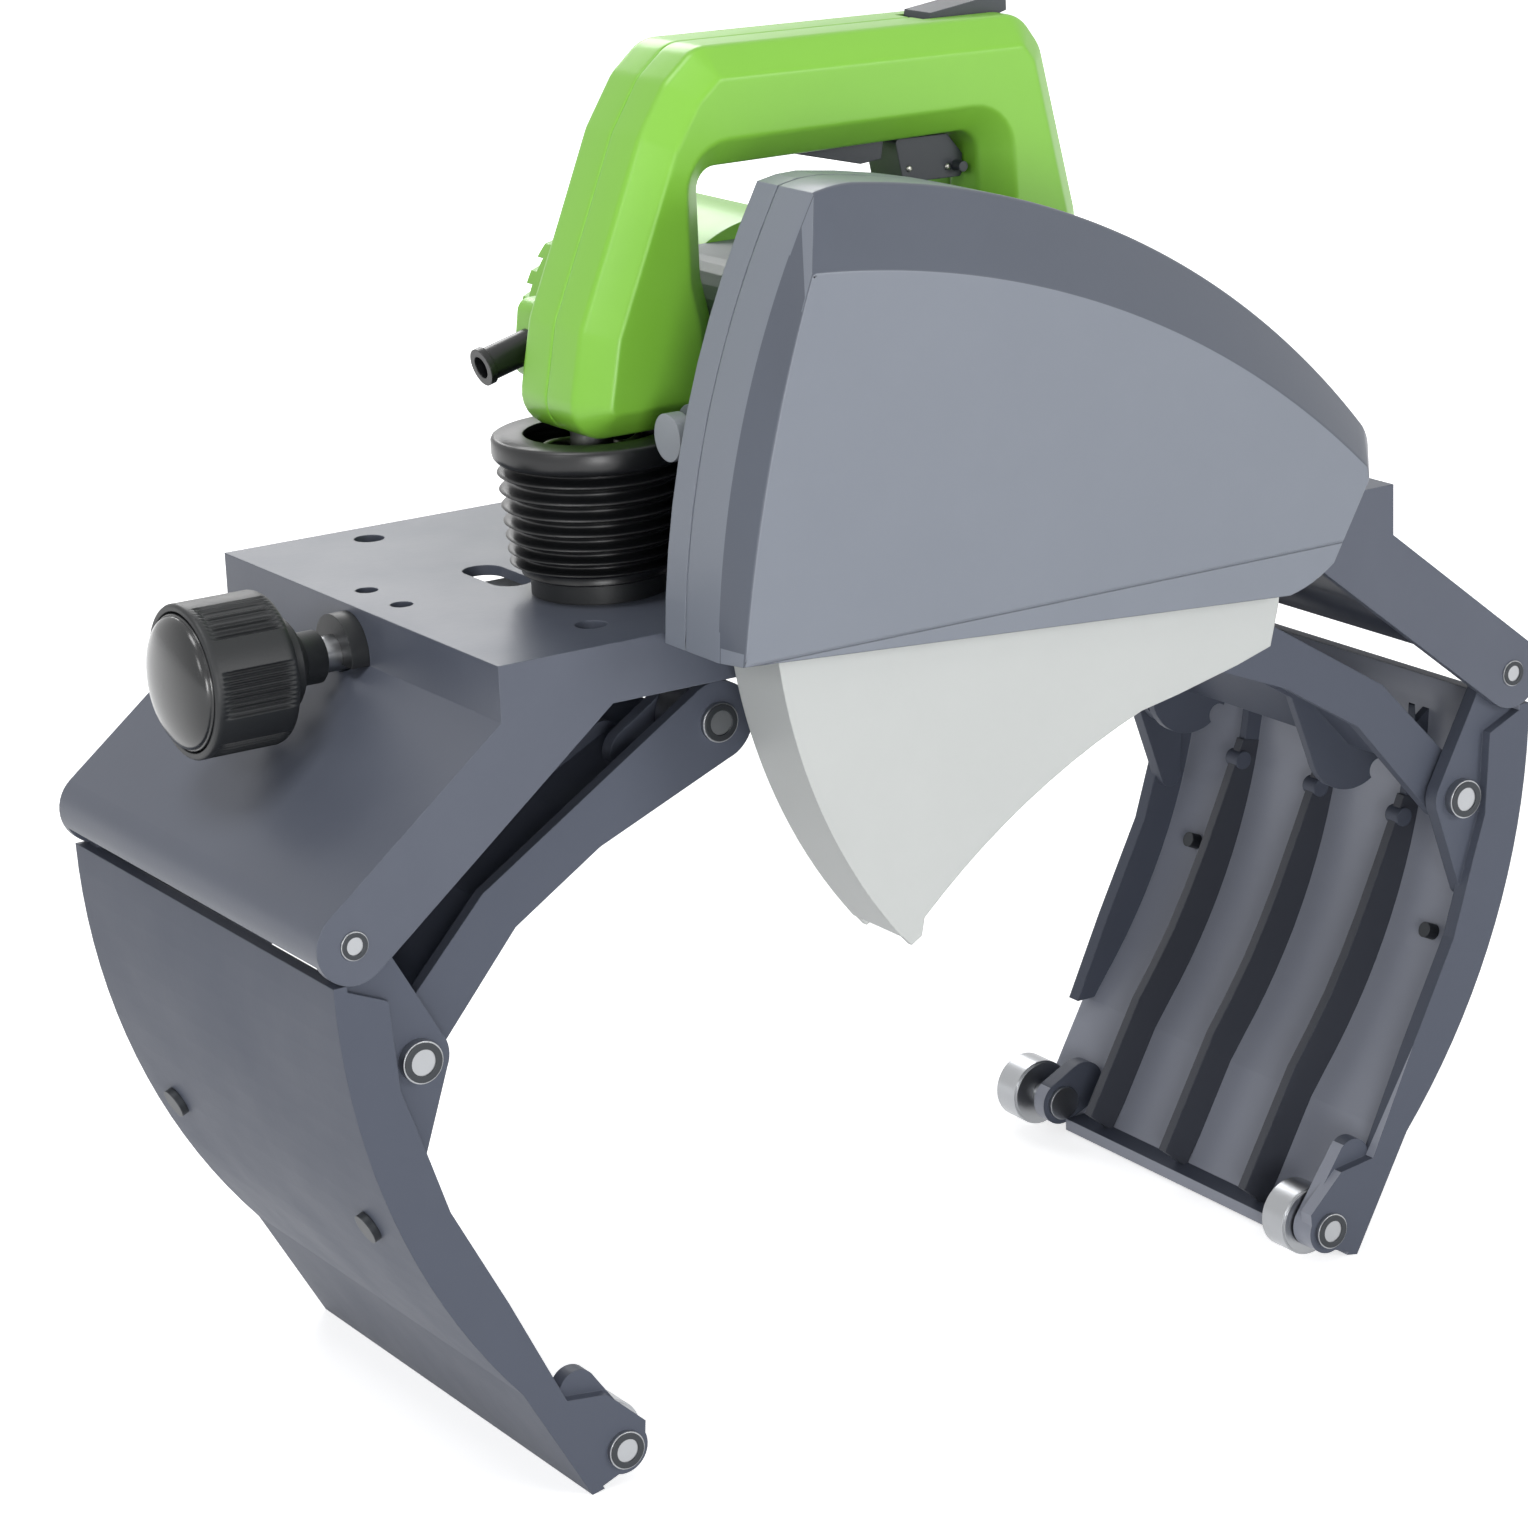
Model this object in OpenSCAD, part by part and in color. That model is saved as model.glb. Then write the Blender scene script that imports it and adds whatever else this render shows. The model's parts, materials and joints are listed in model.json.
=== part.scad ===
// Electric pipe cutter: a small circular saw that tips on the deck of a four-roller pipe clamp.
// Millimetres, +Z up, +Y along the pipe. The origin is on the axis of the largest pipe, at mid-depth.
// Pieces are drawn with heights counted from the arm pivots and lifted onto the pipe's frame at the end.

/* [Clamp frame] */
// Distance between the two arm pivots
pivot_span = 400; // [390:1:420]
// Front to back size of the frame and the arms
frame_depth = 162; // [156:1:180]
// Thickness of the frame's pressed steel
frame_steel = 3; // [2.5:0.1:3.2]
// Width of the raised deck
deck_w = 305; // [296:1:312]
// Height of the deck above the arm pivots
deck_h = 67; // [66:0.5:68]
// Height at which the frame's sides begin to slope
shoulder_h = 51.5; // [50:0.5:56]
// Height of the deck's front and rear rails
rail_h = 16.5; // [12:0.5:20]
// Radius of the frame's end lugs, half the width of its sloping bars
lug_r = 11; // [10.8:0.1:11.4]
// Diameter of the arm pivot pins
pivot_pin_d = 8; // [6:0.1:9]
// Diameter of the two large holes through the deck
deck_hole_d = 9; // [5:0.1:12]
// Distance between the two large holes
deck_hole_gap = 128; // [120:1:134]
// Diameter of the two small holes through the deck
small_hole_d = 6.5; // [3:0.1:8]
// Distance between the two small holes
small_hole_gap = 20.6; // [16:0.1:30]

/* [Arms and links] */
// How far an arm swings from open to shut, in degrees
arm_swing = 50; // [20:1:50]
// Drop of an arm's tip below its pivot
arm_drop = 176; // [174:0.5:180]
// Radius of the arm's curved back
arm_back_r = 205; // [190:1:240]
// Thickness of the arm's curved skin
arm_skin = 4; // [3:0.1:5]
// Thickness of the arm's side flanges
arm_flange = 5; // [4.4:0.1:6]
// Distance of the link pin in from the arm pivot
ear_in = 18.2; // [17:0.1:20]
// Drop of the link pin below the arm pivot
ear_drop = 36.9; // [36:0.1:39]
// Diameter of the link pins and roller pins
link_pin_d = 7.2; // [5:0.1:8]
// Diameter of the eight pipe rollers
roller_d = 22; // [20:0.1:22.6]
// Width of a pipe roller
roller_w = 11; // [8:0.1:11]
// Distance of the tip rollers in from the arm pivots
tip_in = 73; // [71:0.5:75]
// Drop of the tip rollers below the arm pivots
tip_drop = 165; // [163:0.5:166]
// Distance of the centre rollers from the middle of the pipe
centre_x = 80; // [78:0.5:82]
// Height of the centre rollers above the arm pivots
centre_h = 36; // [34:0.5:37]

/* [Clamp screw] */
// Outer diameter of the clamp screw's thread
screw_d = 14; // [12:0.1:14.4]
// Depth of the clamp screw below the deck
screw_below = 13; // [12.5:0.1:13.5]
// Distance of the clamp screw behind mid-depth
screw_y = 3.5; // [0:0.1:6]
// Pitch of the thread
screw_pitch = 4; // [2:0.5:5]
// Distance of each nut from the middle, clamp open
nut_x = 100; // [99:0.1:101]
// Outer diameter of the clamp knob
knob_d = 43.5; // [36:0.5:44]
// Length of the clamp knob's gripping skirt
knob_len = 26; // [20:0.5:27]

/* [Saw] */
// Diameter of the saw blade
blade_d = 140; // [120:1:142]
// Thickness of the saw blade
blade_t = 1.6; // [1.2:0.1:2]
// Bore of the saw blade
blade_bore = 62; // [54:0.5:64]
// Number of blade teeth
blade_teeth = 46; // [30:1:60]
// Sideways place of the blade axle
axle_x = -14; // [-15:0.5:-13]
// Height of the blade axle above the deck
axle_rise = 29; // [28:0.5:30]
// Sideways place of the hinge that the saw tips on
hinge_x = 118; // [116:0.5:120]
// Height of that hinge above the deck
hinge_rise = 13; // [12.5:0.5:15]
// Diameter of that hinge's pin
hinge_pin_d = 8; // [6:0.1:10]
// Depth of the blade guard from front to back
guard_depth = 38; // [37:0.5:40]
// Width of the blade guard
guard_w = 221; // [220:0.5:226]
// Height of the blade guard
guard_h = 134; // [133:0.5:138]
// Wall of the guard and of the handle shells
shell_wall = 3; // [2:0.1:3.4]
// Outer diameter of the motor housing
motor_d = 82; // [80:0.5:88]
// Length of the motor behind the gear case
motor_len = 80; // [78:0.5:92]

/* [Handle and bellows] */
// Front to back thickness of the handle
handle_w = 44; // [40:0.5:44]
// Width of the bevel along the handle's edges
handle_bevel = 8; // [6:0.1:8.5]
// Height of the handle's grip over the deck
handle_rise = 148.5; // [147:0.5:151]
// Sideways place of the bellows
bellows_x = -90; // [-92:0.5:-88]
// Outer diameter of the bellows' top collar
bellows_d = 56; // [50:0.5:57]
// Number of ribs on the bellows
bellows_ribs = 9; // [6:1:11]
// Diameter of the lift spring's wire
spring_wire = 2.2; // [1.6:0.1:2.6]
// Number of curls of the lift spring
spring_curls = 8; // [5:1:9]
// Diameter of the cord sleeve
sleeve_d = 9.5; // [8:0.1:12]

/* [Hidden] */
$fn = 48;

// Overrun of every cut past the face that it opens
over = 1;
// Radial gap of a shaft that turns in its bore
run_gap = 0.04;
// Radial gap of a piece that is pressed into its seat
seat_gap = 0.02;
// Gap between pieces that move past each other
pass_gap = 0.6;

// Clamp frame, seen from the front on its right half: x to the side, y up
half_depth = frame_depth / 2;
pivot = [pivot_span / 2, 0];
screw_h = deck_h - screw_below;
axle_h = deck_h + axle_rise;
hinge_h = deck_h + hinge_rise;
handle_top = deck_h + handle_rise;
shoulder = [deck_w / 2, shoulder_h];
slope_angle = atan2(pivot.y - shoulder.y, pivot.x - shoulder.x)
    + asin(lug_r / norm(pivot - shoulder));
slope_dir = [cos(slope_angle), sin(slope_angle)];
slope_out = left_of(slope_dir);
rail_low = deck_h - rail_h;
lug_top = pivot + lug_r * slope_out;
lug_low = pivot - lug_r * slope_out;
rail_bend = lug_low + slope_dir * (rail_low - lug_low.y) / slope_dir.y;
roll_turn = 77;
deck_hole_x = -112;
small_hole_x = -141.2;
slot_w = 12;
slot_len = 28;
slot_x = -105;
hanger_x = 132;
hanger_t = 5;
hanger_half = 12;
frame_color = "#6E7480";

// Arms: lugs on an inner plate behind the frame's flange
inner_plate = 5;
plate_front = -half_depth + frame_steel + 0.3;
plate_back = plate_front + inner_plate;
ear = pivot - [ear_in, ear_drop];
arm_lug_r = lug_r - frame_steel - 0.3;
ear_r = 9.5;
back_start = pivot + [6.9, -10.6];
screw_boss_y = 60;
screw_boss_h = -88;
back_bend = pivot + [-42, -140];
arm_back_c = arc_centre(back_start, back_bend, arm_back_r);
rib_boss_turn = -14;
rib_boss_r = 3;
shell_screw_lean = asin((screw_boss_h - arm_back_c.y) / arm_back_r);
shell_screw_x = arm_back_c.x + arm_back_r * cos(shell_screw_lean);
arm_foot = [pivot.x - 62, -arm_drop];
// Inner edge of an arm's flange, as shares of its drop, inward and down from the pivot
inner_edge_shares = [
    [0.352, 0.998], [0.412, 0.975], [0.453, 0.943], [0.456, 0.9], [0.388, 0.836], [0.316, 0.827],
    [0.224, 0.637], [0.132, 0.46], [0.085, 0.314], [0.061, 0.245], [0.051, 0.099],
];
tip_x = pivot.x - tip_in;
tip = [tip_x, -tip_drop];
tip_boss_r = 7.6;
front_roller_y = -half_depth + arm_flange + 4 + roller_w / 2;
rear_roller_y = half_depth - roller_w / 2 - pass_gap;
rear_ear_y = rear_roller_y - roller_w / 2 - 6;
rear_ear_t = 5.4;
rear_cut_h = -139;
lip_front = front_roller_y + roller_w / 2 + 3;
arm_rib_ys = [-38, 3, 43];
arm_rib_t = 3;
arm_rib_h = 10;
arm_steps = 18;
arm_back = concat(bow(back_start, back_bend, -arm_back_r, arm_steps), [back_bend]);
arm_color = "#666B7A";
steel_color = "#C9CCD0";

// Links from an arm's ear to the centre rollers and the clamp nut
link_front = plate_back + 1.2;
link_t = 4;
link_r = 7.4;
link_end_r = 11.5;
link_knee_shares = [[0.298, 0.46], [0.5825, 0.706]];
roller_axis = [centre_x, centre_h];
link_knees = [for (s = link_knee_shares)
    ear + [s.x * (roller_axis.x - ear.x), s.y * (roller_axis.y - ear.y)]];
link_web = 2;
link_rib_ys = [-38, 43];
centre_roller_y = -link_front - link_t - roller_w / 2 - pass_gap;
link_ear_y = centre_roller_y - roller_w / 2 - pass_gap;
link_ear_t = 4.4;
nut_half = [9, 12, 8.5];
trunnion_d = 8;
fork_slot = 17;
fork_wall = 4;
fork_t = 5;
fork_gap = 1;
fork_over = 3.6;
link_color = "#5A5F6C";

// Height of the arm pivots over the axis of the largest pipe, which touches all eight rollers
pivot_h = (tip_x * tip_x + tip_drop * tip_drop - centre_x * centre_x - centre_h * centre_h)
    / (2 * (tip_drop + centre_h));
echo(largest_pipe = 2 * norm([centre_x, centre_h + pivot_h]) - roller_d, pivot_height = pivot_h);

// Clamp screw, along X
screw_neck_d = 10.3;
screw_mid_d = 9;
thread_in = 42;
thread_out = 122;
thread_depth = 1.6;
bearing_t = 5.5;
bearing_r = 11;
knob_gap = 5;
knob_boss_r = 7.5;
knob_collar_r = 13;
knob_collar_len = 15.4;
knob_rim = 4;
knob_flutes = 5;
knob_groups = 6;
flute_r = 1.1;
knob_cap_r = 20;
knob_cap_rise = 6;
knob_color = "#202224";

// Saw: depths along Y, from the guard's back towards the front
guard_back = -half_depth - 3;
guard_front = guard_back - guard_depth;
guard_seam = guard_back - 10;
guard_rim = guard_front + 11;
blade_back = guard_back - 17.5;
blade_front = blade_back - blade_t;
// Guard outline as shares of its width and height, from its left and its lowest edge
guard_left = -103;
guard_low = deck_h - 14;
rim_shares = [
    [0, 0.09], [0.158, 0.985], [0.213, 0.995], [0.989, 0.318], [0.998, 0.276], [0.915, 0.055],
    [0.828, 0],
];
face_shares = [
    [0.005, 0.097], [0.12, 0.843], [0.125, 0.847], [0.955, 0.25], [0.958, 0.218], [0.9, 0.055],
    [0.828, 0.004],
];
rim_side_r = 261;
rim_top_r = 256;
face_side_r = 450;
face_top_r = 287;
guard_color = "#848A96";
mouth_left = guard_left + 6;
mouth_right = guard_left + 0.93 * guard_w;
mouth_top = deck_h + 3;

// Lower guard, a shell that swings up into the guard
swing_axis = [77, deck_h + 16];
lower_r = 164.6;
lower_front = guard_front + 8;
lower_back = guard_back - 6;
lower_wall = 2;
lower_top_turn = 182;
lower_tip_turn = 219.5;
lower_inner_r = 220;
lower_hub_r = 9;
swing_pin_d = 8;
guard_swing = 33;
lower_color = "#C6C9C8";

// Gears: module, teeth and pressure angle
gear_module = 1;
pinion_teeth = 12;
gear_teeth = 33;
pressure_angle = 25;
tooth_top_share = 0.8;
tooth_root_share = 1.05;
backlash = 0.12;
gear_front = guard_back + 12;
gear_w = 10;
axle = [axle_x, axle_h];
motor_x = -16;
gear_reach = gear_module * (pinion_teeth + gear_teeth) / 2;
motor_axis = [motor_x, axle.y + sqrt(gear_reach * gear_reach - pow(motor_x - axle.x, 2))];
mesh_turn = atan2(motor_axis.y - axle.y, motor_axis.x - axle.x);
axle_d = 12;
front_bearing_r = 13;
rear_bearing_r = 9.4;
armature_bearing_r = 11;
bearing_w = 8;
armature_d = 8;

// Gear case
case_back = guard_back + 79;
case_wall = 2.6;
case_left = -58;
case_right = 29;
case_top = deck_h + 87;
case_low = axle_h - 22;
bearing_wall_front = guard_back + 24;
hinge_r = 8.4;
hinge_half = 39.5;
case_color = "#7D828E";

// Handle, seen from the front; its mid-plane is where the two halves meet
handle_y = -28;
handle_left = -106;
handle_base = deck_h + 45.3;
handle_face = handle_y - handle_w / 2;
handle_back = handle_y + handle_w / 2;
grip_low = handle_top - 33;
handle_points = [
    [handle_left, handle_base], [case_left - 0.3, handle_base], [case_left - 0.3, deck_h + 74],
    [-61, deck_h + 86], [-61, grip_low], [32, grip_low], [33, deck_h + 51], [69, deck_h + 51],
    [66, deck_h + 89], [55, handle_top - 11.5], [48, handle_top - 2], [-60, handle_top],
    [-70, handle_top - 8.5], [-79, handle_top - 22.5], [-89, deck_h + 102], [-100, deck_h + 76],
];
handle_rounds = [10, 10, 24, 8, 6, 6, 10, 10, 12, 12, 10, 10, 12, 14, 14, 14];
handle_color = "#8CCB4E";
post_d = 12;
post_top = handle_base + 7.7;
post_bore_d = 18;
bellows_low = deck_h + 5.5;
bellows_high = handle_base - 0.3;
collar_h = 8;
rib_depth = 3;
bellows_wall = 1.4;
bellows_taper = 3;
spring_r = 13;
trigger_pivot = [-23, grip_low + 7.5];
trigger_w = 15;
lock_pivot = [29, grip_low - 10.5];
lever_pivot = [25, handle_top - 5.5];
button_h = motor_axis.y - 1.5;
button_y = gear_front + gear_w / 2 - 3;
sleeve_y = 2;
sleeve_len = 28;
lever_w = 13;
lock_w = 16;
handle_half = handle_w / 2;
handle_screws = [[-79, deck_h + 85], [-66, handle_top - 19.5], [44, handle_top - 19.5],
    [51, deck_h + 65]];

// Hinge bracket and the base under the bellows
bracket_x = [104, 131];
bracket_t = 2.5;
bracket_ear_t = 6;
bracket_screw_d = 5;
bracket_screw_inset = 6;
bracket_half = hinge_half + 0.5 + bracket_ear_t;
bracket_holes = [for (x = bracket_x, s = [-1, 1])
    [x + (x < hinge_x ? 1 : -1) * bracket_screw_inset, s * (bracket_half - bracket_ear_t - 7)]];
base_r = 19;

// Knob ends, ridges' shares of a pitch, guard screws and flange
knob_x = -deck_w / 2 - bearing_t - knob_gap;
knob_end = deck_w / 2 + bearing_t + knob_gap + knob_collar_len + knob_len / 2 - 2;
ridge_shares = [[0.1, 0], [0.35, 1], [0.6, 1], [0.85, 0]];
guard_screws = [[-96, deck_h + 10.5], [-63.2, deck_h + 112.6], [109.5, deck_h + 21]];
guard_screw_d = 4;
spring_room_r = 7.6;
flange_r = 0.6 * blade_bore;

// Spindle lock button and motor
button_x = -83;
button_r = 5;
button_travel = 3;
pinion_r = gear_module * (pinion_teeth / 2 + tooth_top_share);
end_cap_y = case_back + motor_len - 23;
end_bearing_y = case_back + motor_len - 15;
vents = 9;
core_r = 22;
motor_rim = 11;
core_front = case_back + 5;
core_slot = [3, 2];
core_back = case_back + motor_len - 35;
coil_overhang = 5;
coil_r = motor_d / 2 - shell_wall - 0.4;
spacer_r = 7;
insulator_r = 15;
insulator_over = 2;
commutator_r = 12;
commutator_y = core_back + 4;
commutator_len = 12;
brush = [25.2, 8, 6];
brush_room = 0.3;
brush_y = commutator_y + 2;
vent_face = 6;
end_plate_t = 3;
fan_y = case_back - 39;
fan_hub_r = 8;
fan_r = 27;
fan_w = 10;
fan_plate_t = 2;
fan_blades = 11;

// Vector helpers
function unit(v) = v / norm(v);
function left_of(v) = [-v.y, v.x];
function turned(p, a) = [p.x * cos(a) - p.y * sin(a), p.x * sin(a) + p.y * cos(a)];
function arc_centre(p, q, r) = (p + q) / 2
    - left_of(unit(q - p)) * sqrt(r * r - (q - p) * (q - p) / 4);
function polar(c, r, a) = c + r * [cos(a), sin(a)];
function angle_of(v) = atan2(v.y, v.x);

// Points of an arc from p up to q, without q; a negative radius bows to the other side
function bow(p, q, r, n = 12) =
    let (h = norm(q - p) / 2,
         c = (p + q) / 2 + sign(r) * left_of(unit(q - p)) * sqrt(r * r - h * h),
         sweep = sign(r) * 2 * asin(h / abs(r)),
         a = angle_of(p - c))
    [for (i = [0:n - 1]) polar(c, abs(r), a + sweep * i / n)];

// A closed outline with each corner rounded by its own radius
function rounded(pts, rs, n = 5) =
    let (m = len(pts))
    [for (i = [0:m - 1])
        let (b = pts[i], u = unit(pts[(i + m - 1) % m] - b), v = unit(pts[(i + 1) % m] - b),
             half = acos(u * v) / 2, r = is_list(rs) ? rs[i] : rs,
             c = b + unit(u + v) * r / sin(half),
             a = angle_of(b + u * r / tan(half) - c),
             d = angle_of(b + v * r / tan(half) - c) - a,
             sweep = d > 180 ? d - 360 : d < -180 ? d + 360 : d)
        each [for (k = [0:n]) polar(c, r, a + sweep * k / n)]];

// A counter-clockwise outline drawn in by d
function inset(pts, d) =
    let (m = len(pts))
    [for (i = [0:m - 1])
        pts[i] + d * left_of(unit(pts[(i + 1) % m] - pts[(i + m - 1) % m]))];

// A band of a ring, for slots and rolled edges
function ring_band(c, r_in, r_out, a, b, n = 12) = concat(
    [for (i = [0:n]) polar(c, r_out, a + (b - a) * i / n)],
    [for (i = [n:-1:0]) polar(c, r_in, a + (b - a) * i / n)]);

// One spur wheel's outline, with involute flanks
function involute_turn(r, r_base) = let (a = acos(min(1, r_base / r))) tan(a) * 180 / PI - a;
function gear_outline(teeth, n = 3) =
    let (r = gear_module * teeth / 2, r_base = r * cos(pressure_angle),
         r_top = r + tooth_top_share * gear_module,
         r_root = r - tooth_root_share * gear_module,
         r_low = max(r_base, r_root),
         half = 90 / teeth - backlash / r * 90 / PI + involute_turn(r, r_base))
    [for (t = [0:teeth - 1]) let (mid = 360 * t / teeth) each concat(
        [polar([0, 0], r_root, mid - half)],
        [for (k = [0:n]) let (q = r_low + (r_top - r_low) * k / n)
            polar([0, 0], q, mid - half + involute_turn(q, r_base))],
        [for (k = [n:-1:0]) let (q = r_low + (r_top - r_low) * k / n)
            polar([0, 0], q, mid + half - involute_turn(q, r_base))],
        [polar([0, 0], r_root, mid + half)])];

// A shape drawn in x and z, standing between two depths
module slab(y_front, y_back)
    translate([0, y_back, 0]) rotate([90, 0, 0]) linear_extrude(y_back - y_front) children();

// A round bar along Y
module rod(p, r, y_front, y_back)
    translate([p.x, y_back, p.y]) rotate([90, 0, 0]) cylinder(r = r, h = y_back - y_front);

// The straight part of a bar between two round ends, a hair inside their common tangents
tie_share = 0.994;
module straight(p, q, rp, rq) {
    a = acos((rp - rq) / norm(q - p));
    u = unit(q - p) * tie_share;
    polygon([p + rp * turned(u, a), p + rp * turned(u, -a), q + rq * turned(u, -a),
        q + rq * turned(u, a)]);
}

// Flat bars end to end, round at each point
module chain(points, radii) {
    for (i = [0:len(points) - 1]) translate(points[i]) circle(radii[i]);
    for (i = [0:len(points) - 2]) straight(points[i], points[i + 1], radii[i], radii[i + 1]);
}

// A flat bar between two round ends
module tie(p, q, rp, rq) chain([p, q], [rp, rq]);

// Cuts a counter-clockwise outline into triangles, one ear at a time
function inside(p, a, b, c) = cross(b - a, p - a) > 0 && cross(c - b, p - b) > 0 && cross(a - c, p - c) > 0;
function ears(pts, left) = let (m = len(left)) m < 4 ? [left] :
    let (k = [for (i = [0:m - 1])
        let (a = pts[left[(i + m - 1) % m]], b = pts[left[i]], c = pts[left[(i + 1) % m]])
        if (cross(b - a, c - b) > 0 && len([for (j = left) if (inside(pts[j], a, b, c)) j]) == 0) i][0])
    concat([[left[(k + m - 1) % m], left[k], left[(k + 1) % m]]],
        ears(pts, [for (i = [0:m - 1]) if (i != k) left[i]]));

// A skin over outlines with as many points each, at rising heights
module loft(rings, heights) {
    n = len(rings[0]);
    top = len(rings) - 1;
    all = [for (j = [0:n - 1]) j];
    polyhedron(
        [for (i = [0:top]) each [for (p = rings[i]) [p.x, p.y, heights[i]]]],
        concat(
            ears(rings[0], all),
            [for (i = [0:top - 1]) each [for (j = all) let (k = (j + 1) % n)
                each [[i * n + j, (i + 1) * n + j, (i + 1) * n + k],
                    [i * n + j, (i + 1) * n + k, i * n + k]]]],
            [for (t = ears(rings[top], all)) [for (j = [2:-1:0]) top * n + t[j]]]));
}

// A loft that grows from a depth towards the front
module loft_front(y, rings, heights) translate([0, y, 0]) rotate([90, 0, 0]) loft(rings, heights);

// Draws its children on the left or on the right
module on_side(side) mirror([side < 0 ? 1 : 0, 0, 0]) children();

// Draws its children at the front and, mirrored, at the rear
module both_depths() {
    children();
    mirror([0, 1, 0]) children();
}

// Lifts what is drawn from the arm pivots onto the pipe's frame
module on_pipe() translate([0, 0, pivot_h]) children();

// One unbroken wound wire: centre, mean radius, wire, low and high ends, curls
module wound_wire(r, wire, low, high, curls) {
    rings = 8 * curls;
    sides = 6;
    points = [for (k = [0:rings]) each [for (s = [0:sides - 1])
        let (a = 360 * k / 8, w = wire / 2, q = r + w * cos(360 * s / sides))
        [q * cos(a), q * sin(a), low + (high - low) * k / rings + w * sin(360 * s / sides)]]];
    polyhedron(points, concat(
        [[for (s = [sides - 1:-1:0]) s]],
        [for (k = [0:rings - 1]) each [for (s = [0:sides - 1]) let (t = (s + 1) % sides)
            each [[k * sides + s, k * sides + t, (k + 1) * sides + t],
                [k * sides + s, (k + 1) * sides + t, (k + 1) * sides + s]]]],
        [[for (s = [0:sides - 1]) rings * sides + s]]));
}

// Clamp frame

module frame_side() difference() {
    for (side = [-1, 1]) mirror([side < 0 ? 1 : 0, 0]) {
        polygon([[0, rail_low], rail_bend, lug_low, lug_top, shoulder, [deck_w / 2, deck_h],
            [0, deck_h]]);
        translate(pivot) circle(lug_r);
    }
    for (side = [-1, 1]) translate([side * pivot.x, 0]) circle(pivot_pin_d / 2 + seat_gap);
}

// The pressed deck, its step and its sloping panel down to the rolled edge at the pivot
module frame_sheet() {
    t = frame_steel;
    out = angle_of(slope_out);
    fold = shoulder - t * slope_out + slope_dir * t * (slope_out.x - 1) / slope_dir.x;
    for (side = [-1, 1]) mirror([side < 0 ? 1 : 0, 0]) {
        polygon([[0, deck_h - t], [deck_w / 2 - t, deck_h - t], fold, lug_top - t * slope_out,
            lug_top, shoulder, [deck_w / 2, deck_h], [0, deck_h]]);
        translate(pivot) intersection() {
            difference() {
                circle(lug_r);
                circle(lug_r - t);
            }
            polygon([[0, 0], for (k = [0:2]) polar([0, 0], 2 * lug_r, out - roll_turn * k / 2)]);
        }
    }
}

module deck_hole(x, y, d)
    translate([x, y, deck_h - frame_steel - over]) cylinder(d = d, h = frame_steel + 2 * over);

module top_frame() color(frame_color) on_pipe() difference() {
    union() {
        both_depths() slab(-half_depth, -half_depth + frame_steel) frame_side();
        slab(-half_depth, half_depth) frame_sheet();
        translate([hanger_x, screw_y - hanger_half, screw_h - hanger_half])
            cube([hanger_t, 2 * hanger_half, deck_h - screw_h + hanger_half - frame_steel / 2]);
    }
    for (side = [-1, 1]) {
        deck_hole(deck_hole_x, screw_y + side * deck_hole_gap / 2, deck_hole_d);
        deck_hole(small_hole_x, screw_y + side * small_hole_gap / 2, small_hole_d);
        deck_hole(slot_x, screw_y + side * (slot_len - slot_w) / 2, slot_w);
    }
    translate([slot_x - slot_w / 2, screw_y - (slot_len - slot_w) / 2,
        deck_h - frame_steel - over])
        cube([slot_w, slot_len - slot_w, frame_steel + 2 * over]);
    translate([-deck_w / 2 - bearing_r, screw_y, screw_h]) rotate([0, 90, 0])
        cylinder(r = screw_neck_d / 2 + pass_gap, h = 2 * bearing_r);
    translate([hanger_x - over, screw_y, screw_h]) rotate([0, 90, 0])
        cylinder(r = screw_neck_d / 2 + run_gap, h = hanger_t + 2 * over);
    for (p = bracket_holes) deck_hole(p.x, p.y, bracket_screw_d - seat_gap);
}

module screw_bearing() color(knob_color) on_pipe() difference() {
    translate([-deck_w / 2, screw_y, screw_h]) rotate([0, -90, 0]) union() {
        linear_extrude(bearing_t) intersection() {
            circle(bearing_r);
            translate([shoulder_h - screw_h, -bearing_r]) square(2 * bearing_r);
        }
    }
    translate([-deck_w / 2 + over, screw_y, screw_h]) rotate([0, -90, 0])
        cylinder(r = screw_neck_d / 2 + run_gap, h = bearing_t + 2 * over);
}

module arm_pivot_pins() color(steel_color) on_pipe() for (side = [-1, 1]) both_depths() {
    rod([side * pivot.x, 0], pivot_pin_d / 2, -half_depth - 0.4, plate_back + 1.6);
    rod([side * pivot.x, 0], pivot_pin_d / 2 + 1.4, plate_back + 0.4, plate_back + 1.6);
}

module hinge_bracket() color(frame_color) on_pipe() difference() {
    union() {
        translate([bracket_x[0], -bracket_half, deck_h])
            cube([bracket_x[1] - bracket_x[0], 2 * bracket_half, bracket_t]);
        both_depths() slab(-bracket_half, -bracket_half + bracket_ear_t) union() {
            polygon([[bracket_x[0], deck_h], [bracket_x[1], deck_h], [hinge_x + hinge_r, hinge_h],
                [hinge_x - hinge_r, hinge_h]]);
            translate([hinge_x, hinge_h]) circle(hinge_r);
        }
    }
    rod([hinge_x, hinge_h], hinge_pin_d / 2 + seat_gap, -bracket_half - over, bracket_half + over);
    for (p = bracket_holes) translate([p.x, p.y, deck_h - over])
        cylinder(d = bracket_screw_d + 2 * seat_gap, h = bracket_t + 2 * over);
}

module hinge_pin() color(steel_color) on_pipe() {
    rod([hinge_x, hinge_h], hinge_pin_d / 2, -bracket_half - 2, bracket_half + 2);
    both_depths() rod([hinge_x, hinge_h], hinge_pin_d / 2 + 2, -bracket_half - 2, -bracket_half);
}

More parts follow.
